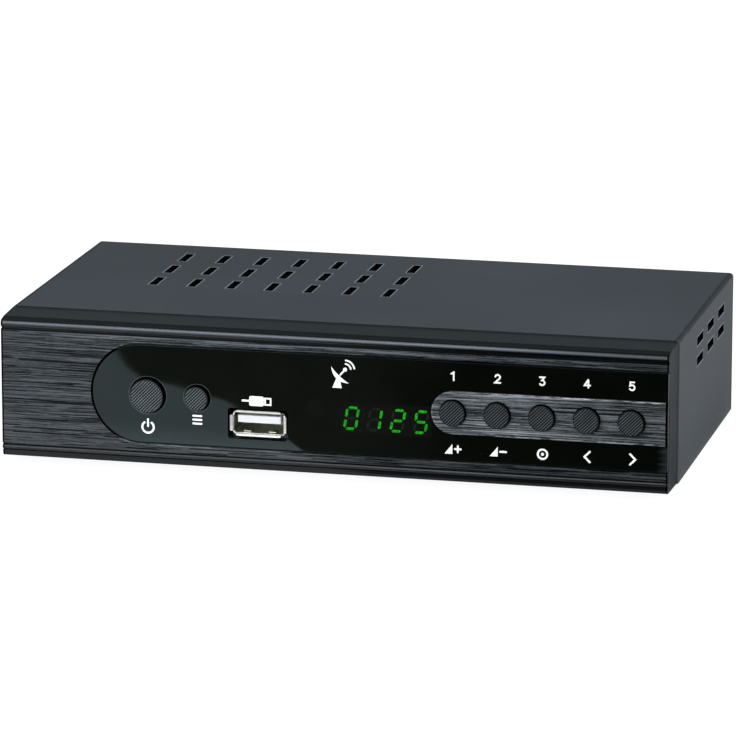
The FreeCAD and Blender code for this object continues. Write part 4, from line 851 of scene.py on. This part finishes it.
def usb_shell():
    ux, uz = -18.46, 11.95 + FZ
    parts = []
    # tube, inside and outside skins
    out, inn = rounded_rect(6.6, 2.9, 0.75), rounded_rect(6.28, 2.58, 0.45)
    n = len(out)
    verts, faces = [], []
    rings = [(1.32, out), (14.5, out), (14.5, inn), (1.32, inn)]
    for y, pts in rings:
        for px, pz in pts:
            verts.append((ux + px, FY + y, uz + pz))
    for a in range(4):
        b = (a + 1) % 4
        for i in range(n):
            j = (i + 1) % n
            faces.append((a * n + i, a * n + j, b * n + j, b * n + i))
    parts.append((verts, faces))

    # lips that flare out of the mouth, one on each side, with slit corners
    def lip(half, reach0, side, horizontal):
        vs, fs = [], []
        rows = 7
        cols = 14
        thick = 0.3
        # out of the tube, round a tight bend, then flat and splayed
        bend = [(0.0, 1.34), (0.01, 1.05), (0.05, 0.82), (0.14, 0.66), (0.28, 0.56), (0.42, 0.47), (0.56, 0.38)] if horizontal else \
               [(0.0, 1.34), (0.02, 1.00), (0.10, 0.74), (0.25, 0.58), (0.44, 0.48), (0.62, 0.39), (0.78, 0.31)]
        for layer in (0, 1):
            for a in range(rows):
                t = a / (rows - 1)
                rise, y = bend[a]
                off = reach0 + rise + (thick if layer else 0.0) * (1 - 0.45 * t)
                y += (0.16 * t if layer else 0.0)
                for c in range(cols + 1):
                    u = 2 * c / cols - 1
                    # the end of the lip has rounded corners
                    w = half * (1 - 0.04 * max(0.0, t - 0.55) ** 2 * 4)
                    yy = y + (0.14 * max(0.0, abs(u) - 0.86) / 0.14 * t * t)
                    if horizontal:
                        vs.append((ux + u * w, FY + yy, uz + side * off))
                    else:
                        vs.append((ux + side * off, FY + yy, uz + u * w))
        k = cols + 1
        m = rows * k
        for a in range(rows - 1):
            for c in range(cols):
                i = a * k + c
                fs.append((i, i + 1, i + k + 1, i + k))
                fs.append((m + i, m + i + k, m + i + k + 1, m + i + 1))
        for a in range(rows - 1):
            i = a * k
            fs.append((i, i + k, m + i + k, m + i))
            i = a * k + cols
            fs.append((i, m + i, m + i + k, i + k))
        for c in range(cols):
            i = (rows - 1) * k + c
            fs.append((i, i + 1, m + i + 1, m + i))
            i = c
            fs.append((i, m + i, m + i + 1, i + 1))
        return vs, fs

    parts.append(lip(5.75, 2.6, 1, True))
    parts.append(lip(5.75, 2.6, -1, True))
    parts.append(lip(2.05, 6.3, 1, False))
    parts.append(lip(2.05, 6.3, -1, False))

    # sprung tongues bent into the mouth from the upper and lower walls
    def spring(sx, side):
        vs, fs = [], []
        line = [(5.4, 2.50), (4.6, 2.44), (3.9, 2.20), (3.3, 1.98), (2.9, 1.92), (2.5, 2.02), (2.2, 2.26)] if side < 0 else \
               [(5.4, 2.52), (4.6, 2.50), (3.9, 2.42), (3.3, 2.36), (2.9, 2.34), (2.5, 2.38), (2.2, 2.46)]
        for w in (-1, 1):
            for y, h in line:
                vs.append((ux + sx + w * 0.95, FY + y, uz + side * h))
            for y, h in line:
                vs.append((ux + sx + w * 0.95, FY + y, uz + side * (h + 0.14)))
        m = len(line)
        for a in range(m - 1):
            fs.append((a, a + 1, 2 * m + a + 1, 2 * m + a))
            fs.append((m + a, 3 * m + a, 3 * m + a + 1, m + a + 1))
            fs.append((a, m + a, m + a + 1, a + 1))
            fs.append((2 * m + a, 2 * m + a + 1, 3 * m + a + 1, 3 * m + a))
        fs.append((m - 1, 2 * m - 1, 4 * m - 1, 3 * m - 1))
        fs.append((0, 2 * m, 3 * m, m))
        return vs, fs

    for sx in (-3.2, 3.2):
        for side in (1, -1):
            parts.append(spring(sx, side))
    v, f = join(parts)
    ob = add_mesh("usb_socket_shell", v, f, "nickel", "case", ("usb_shell",), 40.0)
    return ob


usb = usb_shell()


# ------------------------------------------------------------ printed marks on the lens

def signed_area(pts):
    return sum(a[0] * b[1] - b[0] * a[1] for a, b in zip(pts, pts[1:] + pts[:1])) / 2


class Marks:
    """Flat outlines in mm on the front (x, height over the case's underside), made into thin raised prints."""

    def __init__(self, name, thick, slot, mat):
        self.name, self.thick, self.slot, self.mat = name, thick, slot, mat
        self.parts = []

    def shape(self, outer, *holes):
        """One closed print; each is a hair thicker than the last, so prints that overlap don't share a plane."""
        loops = [list(outer) if signed_area(list(outer)) > 0 else list(outer)[::-1]]
        loops += [list(h) if signed_area(list(h)) < 0 else list(h)[::-1] for h in holes]
        flat = [p for l in loops for p in l]
        tris = tessellate_polygon([[Vector((x, z, 0.0)) for x, z in l] for l in loops])
        front, back = LENS_FACE - self.thick - 0.0006 * len(self.parts), LENS_FACE + 0.004
        n = len(flat)
        verts = [(x, front, z + FZ) for x, z in flat] + [(x, back, z + FZ) for x, z in flat]
        faces = []
        for t in tris:
            if signed_area([flat[i] for i in t]) < 0:
                t = t[::-1]
            faces.append(tuple(t))
            faces.append(tuple(i + n for i in reversed(t)))
        k = 0
        for l in loops:
            m = len(l)
            for i in range(m):
                a, b = k + i, k + (i + 1) % m
                faces.append((a, a + n, b + n, b))
            k += m
        self.parts.append((verts, faces))

    def stroke(self, pts, w, caps=True):
        """A line of width w along pts."""
        left, right = [], []
        n = len(pts)
        for i, p in enumerate(pts):
            a = pts[max(0, i - 1)]
            b = pts[min(n - 1, i + 1)]
            if 0 < i < n - 1:
                d1 = Vector((p[0] - a[0], p[1] - a[1])).normalized()
                d2 = Vector((b[0] - p[0], b[1] - p[1])).normalized()
                n1, n2 = Vector((-d1.y, d1.x)), Vector((-d2.y, d2.x))
                m = (n1 + n2).normalized()
                off = m * (w / 2 / max(0.35, m.dot(n1)))
            else:
                d = Vector((b[0] - a[0], b[1] - a[1])).normalized()
                off = Vector((-d.y, d.x)) * (w / 2)
            left.append((p[0] + off.x, p[1] + off.y))
            right.append((p[0] - off.x, p[1] - off.y))
        if caps:
            def cap(c, start, steps=6):
                a0 = math.atan2(start[1] - c[1], start[0] - c[0])
                return [(c[0] + w / 2 * math.cos(a0 - math.pi * i / steps), c[1] + w / 2 * math.sin(a0 - math.pi * i / steps))
                        for i in range(1, steps)]
            self.shape(left + cap(pts[-1], left[-1]) + right[::-1] + cap(pts[0], right[0]))
        else:
            self.shape(left + right[::-1])

    def arc_points(self, cx, cz, r, a0, a1, n):
        return [(cx + r * math.cos(math.radians(a0 + (a1 - a0) * i / n)),
                 cz + r * math.sin(math.radians(a0 + (a1 - a0) * i / n))) for i in range(n + 1)]

    def arc(self, cx, cz, r, a0, a1, w, n=28):
        self.stroke(self.arc_points(cx, cz, r, a0, a1, n), w)

    def circle(self, cx, cz, r, n=40):
        return [(cx + r * math.cos(2 * math.pi * i / n), cz + r * math.sin(2 * math.pi * i / n)) for i in range(n)]

    def ring(self, cx, cz, r, w):
        self.shape(self.circle(cx, cz, r + w / 2), self.circle(cx, cz, r - w / 2))

    def disc(self, cx, cz, r):
        self.shape(self.circle(cx, cz, r, 24))

    def rect(self, x0, z0, x1, z1, r=0.0, hole=None):
        def pts(x0, z0, x1, z1, r):
            if r <= 0:
                return [(x0, z0), (x1, z0), (x1, z1), (x0, z1)]
            return [((x0 + x1) / 2 + a, (z0 + z1) / 2 + b) for a, b in rounded_rect((x1 - x0) / 2, (z1 - z0) / 2, r, 4)]
        self.shape(pts(x0, z0, x1, z1, r), *([pts(*hole, 0.0)] if hole else []))

    def number(self, k, cx, cz):
        """A plain figure, 2.4 mm high."""
        w = 0.42

        def at(pts):
            return [(cx + x, cz + z) for x, z in pts]
        if k == 1:
            self.stroke(at([(-0.46, 0.62), (0.14, 0.99), (0.14, -0.99)]), w)
        elif k == 2:
            self.stroke(at(self.arc_points(0, 0.40, 0.59, 168, -28, 14) + [(-0.62, -0.99), (0.68, -0.99)]), w)
        elif k == 3:
            self.stroke(at([(-0.60, 0.99), (0.52, 0.99), (-0.06, 0.22)] + self.arc_points(-0.04, -0.38, 0.61, 78, -150, 14)), w)
        elif k == 4:
            self.stroke(at([(0.30, -0.99), (0.30, 0.95)]), w)
            self.stroke(at([(0.22, 0.99), (-0.62, -0.42), (0.72, -0.42)]), w)
        elif k == 5:
            self.stroke(at([(0.52, 0.99), (-0.44, 0.99), (-0.52, 0.12)] + self.arc_points(-0.03, -0.36, 0.63, 108, -150, 14)), w)

    def done(self, body="case"):
        v, f = join(self.parts)
        return add_mesh(self.name, v, f, self.slot, body, (), 30.0, self.mat)


marks = Marks("front_marks", 0.02, "lens_black", MATS["print_white"])
# power mark: broken ring and bar
marks.arc(-46.6, 9.72, 1.47, 128, 412, 0.50, 36)
marks.stroke([(-46.6, 9.95), (-46.6, 11.7)], 0.50)
# menu mark: three bars
for dz in (-0.98, 0.0, 0.98):
    marks.stroke([(-34.95, 12.3 + dz), (-32.85, 12.3 + dz)], 0.48)
# memory-stick port mark: a plug seen from the side
marks.rect(-20.6, 16.65, -16.9, 19.15, 0.45)
marks.rect(-16.75, 16.9, -14.95, 18.9, 0.0, (-16.35, 17.3, -15.35, 18.5))
marks.stroke([(-22.3, 17.9), (-20.7, 17.9)], 0.5)
# volume up and down: a wedge with a sign
for cx, plus in ((30.95, True), (42.3, False)):
    marks.shape([(cx - 2.1, 7.4), (cx - 0.1, 7.4), (cx - 0.1, 9.9)])
    marks.stroke([(cx + 0.5, 8.65), (cx + 2.0, 8.65)], 0.5)
    if plus:
        marks.stroke([(cx + 1.25, 7.9), (cx + 1.25, 9.4)], 0.5)
# select: ring and dot
marks.ring(53.4, 8.65, 1.18, 0.50)
marks.disc(53.4, 8.65, 0.40)
# left and right
marks.stroke([(65.15, 9.95), (63.85, 8.65), (65.15, 7.35)], 0.5)
marks.stroke([(75.15, 9.95), (76.45, 8.65), (75.15, 7.35)], 0.5)
# plain key numbers above the strip
for i in range(5):
    marks.number(i + 1, 30.95 + 11.13 * i, 27.0)
# a dish
DX, DZ = 2.5, 25.75
AX, AZ = math.sin(math.radians(42)), math.cos(math.radians(42))


def dish(u, w):
    return (DX + u * AZ + w * AX, DZ - u * AX + w * AZ)


marks.shape([dish(u / 4, 1.35 * ((u / 12) ** 2 - 1)) for u in range(-12, 13)] + [dish(u / 4, 0.30 * ((u / 12) ** 2 - 1)) for u in range(11, -12, -1)])
marks.stroke([dish(0, 0.0), dish(0, 1.75)], 0.40)
marks.disc(*dish(0, 1.9), 0.52)
foot = dish(0, -1.2)
marks.shape([(foot[0] - 0.1, foot[1] + 0.1), (foot[0] + 0.75, foot[1] - 0.35), (foot[0] + 1.25, DZ - 3.3), (foot[0] - 1.15, DZ - 3.3)])
for r in (1.45, 2.35):
    marks.arc(*dish(0, 1.9), r, 10, 86, 0.42, 14)
marks.done()


# ------------------------------------------------------------ display digits

SEG = {"a": ((-1, 1), (1, 1)), "b": ((1, 1), (1, 0)), "c": ((1, 0), (1, -1)), "d": ((-1, -1), (1, -1)),
       "e": ((-1, 0), (-1, -1)), "f": ((-1, 1), (-1, 0)), "g": ((-1, 0), (1, 0))}
LIT = {"0": "abcdef", "1": "bc", "2": "abged", "5": "afgcd"}


def digits(text, xs, zc, hw, hh, w, slant):
    lit = Marks("display_digits_lit", 0.014, "lens_black", MATS["segment_lit"])
    off = Marks("display_digits_unlit", 0.008, "lens_black", MATS["segment_dark"])
    gap = 0.30
    for ch, cx in zip(text, xs):
        for s, (a, b) in SEG.items():
            p = Vector((a[0] * hw, a[1] * hh))
            q = Vector((b[0] * hw, b[1] * hh))
            d = (q - p).normalized()
            p, q = p + d * gap, q - d * gap
            nrm = Vector((-d.y, d.x)) * (w / 2)
            tip = d * (w * 0.42)
            pts = [p, p + tip + nrm, q - tip + nrm, q, q - tip - nrm, p + tip - nrm]
            (lit if s in LIT[ch] else off).shape([(cx + v.x + v.y * math.tan(math.radians(slant)), zc + v.y) for v in pts])
    for m in (lit, off):
        m.done()


digits("0125", (5.4, 11.25, 17.1, 22.95), 14.95, 1.42, 2.66, 0.66, 9.0)

# ------------------------------------------------------------ stage, light, camera

def stage_floor():
    me = bpy.data.meshes.new("floor")
    s = 4.0
    z = -0.00003     # a hair under the feet
    me.from_pydata([(-s, -s, z), (s, -s, z), (s, s, z), (-s, s, z)], [], [(0, 1, 2, 3)])
    o = bpy.data.objects.new("floor", me)
    bpy.context.scene.collection.objects.link(o)
    g = Graph("floor_pale", Specular_IOR_Level=0.1)
    t = g.noise(0.004, 2.0)
    g.bsdf.inputs["Emission Color"].default_value = (1, 1, 1, 1)
    near = g.y.ramp(-102.0, -72.0) * g.y.ramp(-48.0, -54.0) * g.x.ramp(-110.0, -95.0) * g.x.ramp(30.0, 0.0)
    rim = (g.x * g.x + g.y * g.y).sqrt().ramp(1200.0, 2600.0)
    g.link((near * 0.85 + 0.94 + rim * 0.06).s, g.bsdf.inputs["Emission Strength"])
    me.materials.append(g.finish(g.colour(t, (0.3, (0.14, 0.14, 0.14, 1)), (0.7, (0.16, 0.16, 0.16, 1))), 0.9))


def card(name, pts, shade, far=None):
    """A card lying beside the set, which only shows as a reflection in gloss."""
    me = bpy.data.meshes.new(name)
    me.from_pydata([(x * MM, y * MM, 0.0006) for x, y in pts], [], [tuple(range(len(pts)))])
    o = bpy.data.objects.new(name, me)
    bpy.context.scene.collection.objects.link(o)
    g = Graph(name, Specular_IOR_Level=0.0)
    far = far or shade
    tone = g.mix(g.x.ramp(88.0, 125.0), (shade, shade, shade, 1), (far, far, far, 1))
    me.materials.append(g.finish(tone, 1.0))
    for k in ("visible_camera", "visible_diffuse", "visible_transmission", "visible_volume_scatter", "visible_shadow"):
        setattr(o, k, False)


stage_floor()
card("dark_card", [(-300, -620), (-112, -225), (-89, -170), (-82, -155), (-75, -144), (-67, -139), (-54, -129), (-46, -123),
                   (-33, -105), (-20, -87), (-11, -73), (0, -62), (12, -54), (100, -54), (100, -1200), (-300, -1200)], 0.002)
card("grey_card", [(86.5, -49), (1500, -49), (1500, 3000), (86.5, 3000)], 0.33, 0.50)


def area(name, pos, target, size, power, gloss=True, matt=True, tint=(1.0, 1.0, 1.0)):
    d = bpy.data.lights.new(name, "AREA")
    d.shape = "RECTANGLE"
    d.size, d.size_y = size
    d.energy = power
    d.color = tint
    o = bpy.data.objects.new(name, d)
    bpy.context.scene.collection.objects.link(o)
    o.location = pos
    o.rotation_mode = "QUATERNION"
    o.rotation_quaternion = (Vector(target) - Vector(pos)).to_track_quat("-Z", "Y")
    o.visible_glossy, o.visible_diffuse = gloss, matt
    return o


COOL = (0.90, 0.95, 1.0)
SIDE = (0.95, 0.98, 1.0)
area("top_soft", (-0.10, -0.20, 1.30), (0, 0, 0), (1.3, 1.1), 11.2, False)
area("front_soft", (-0.55, -0.95, 0.45), (0, 0, 0.03), (0.62, 0.62), 8.6, False)
area("glint_low", (-0.27, -1.11, 0.39), (0, 0, 0.03), (0.50, 0.78), 8.8, True, False, COOL)
area("glint_high", (-0.27, -0.72, 0.94), (0, 0, 0.03), (0.50, 0.66), 5.5, True, False, COOL)
area("right_soft", (1.30, 0.30, 0.50), (0.05, 0, 0.02), (0.9, 0.6), 10.9, True, True, SIDE)
area("left_soft", (-1.30, 0.35, 0.60), (0, 0, 0.02), (0.9, 0.6), 5.0, True, True, SIDE)
area("rear_soft", (0.85, 1.15, 0.75), (0, 0, 0.02), (0.8, 0.5), 5.0, True, True, SIDE)

world = bpy.data.worlds.new("studio")
bpy.context.scene.world = world
world.use_nodes = True
wt = world.node_tree
wt.nodes.clear()
wo = wt.nodes.new("ShaderNodeOutputWorld")
bg = wt.nodes.new("ShaderNodeBackground")
bg2 = wt.nodes.new("ShaderNodeBackground")
lp = wt.nodes.new("ShaderNodeLightPath")
mx = wt.nodes.new("ShaderNodeMixShader")
bg.inputs[0].default_value = (0.84, 0.98, 1.0, 1)
bg.inputs[1].default_value = 0.165
bg2.inputs[0].default_value = (1, 1, 1, 1)
bg2.inputs[1].default_value = 1.0
wt.links.new(lp.outputs["Is Camera Ray"], mx.inputs[0])
wt.links.new(bg.outputs[0], mx.inputs[1])
wt.links.new(bg2.outputs[0], mx.inputs[2])
wt.links.new(mx.outputs[0], wo.inputs[0])

yaw, pitch, roll = math.radians(13.275), math.radians(13.524), math.radians(0.014)
back = Vector((math.sin(yaw) * math.cos(pitch), -math.cos(yaw) * math.cos(pitch), math.sin(pitch)))
right = Vector((math.cos(yaw), math.sin(yaw), 0.0))
up = back.cross(right)
r_ = right * math.cos(roll) + up * math.sin(roll)
u_ = up * math.cos(roll) - right * math.sin(roll)
place = (r_ * 9.319 + u_ * 26.626 + back * 1343.872 + Vector((0, FY, FZ))) * MM
cam = bpy.data.cameras.new("camera")
cam.sensor_width = 36.0
cam.lens = 266.09
cam.clip_start, cam.clip_end = 0.05, 50.0
co = bpy.data.objects.new("camera", cam)
bpy.context.scene.collection.objects.link(co)
co.matrix_world = Matrix(((r_.x, u_.x, back.x, place.x), (r_.y, u_.y, back.y, place.y), (r_.z, u_.z, back.z, place.z), (0, 0, 0, 1)))
bpy.context.scene.camera = co
bpy.context.scene.view_settings.view_transform = "Standard"
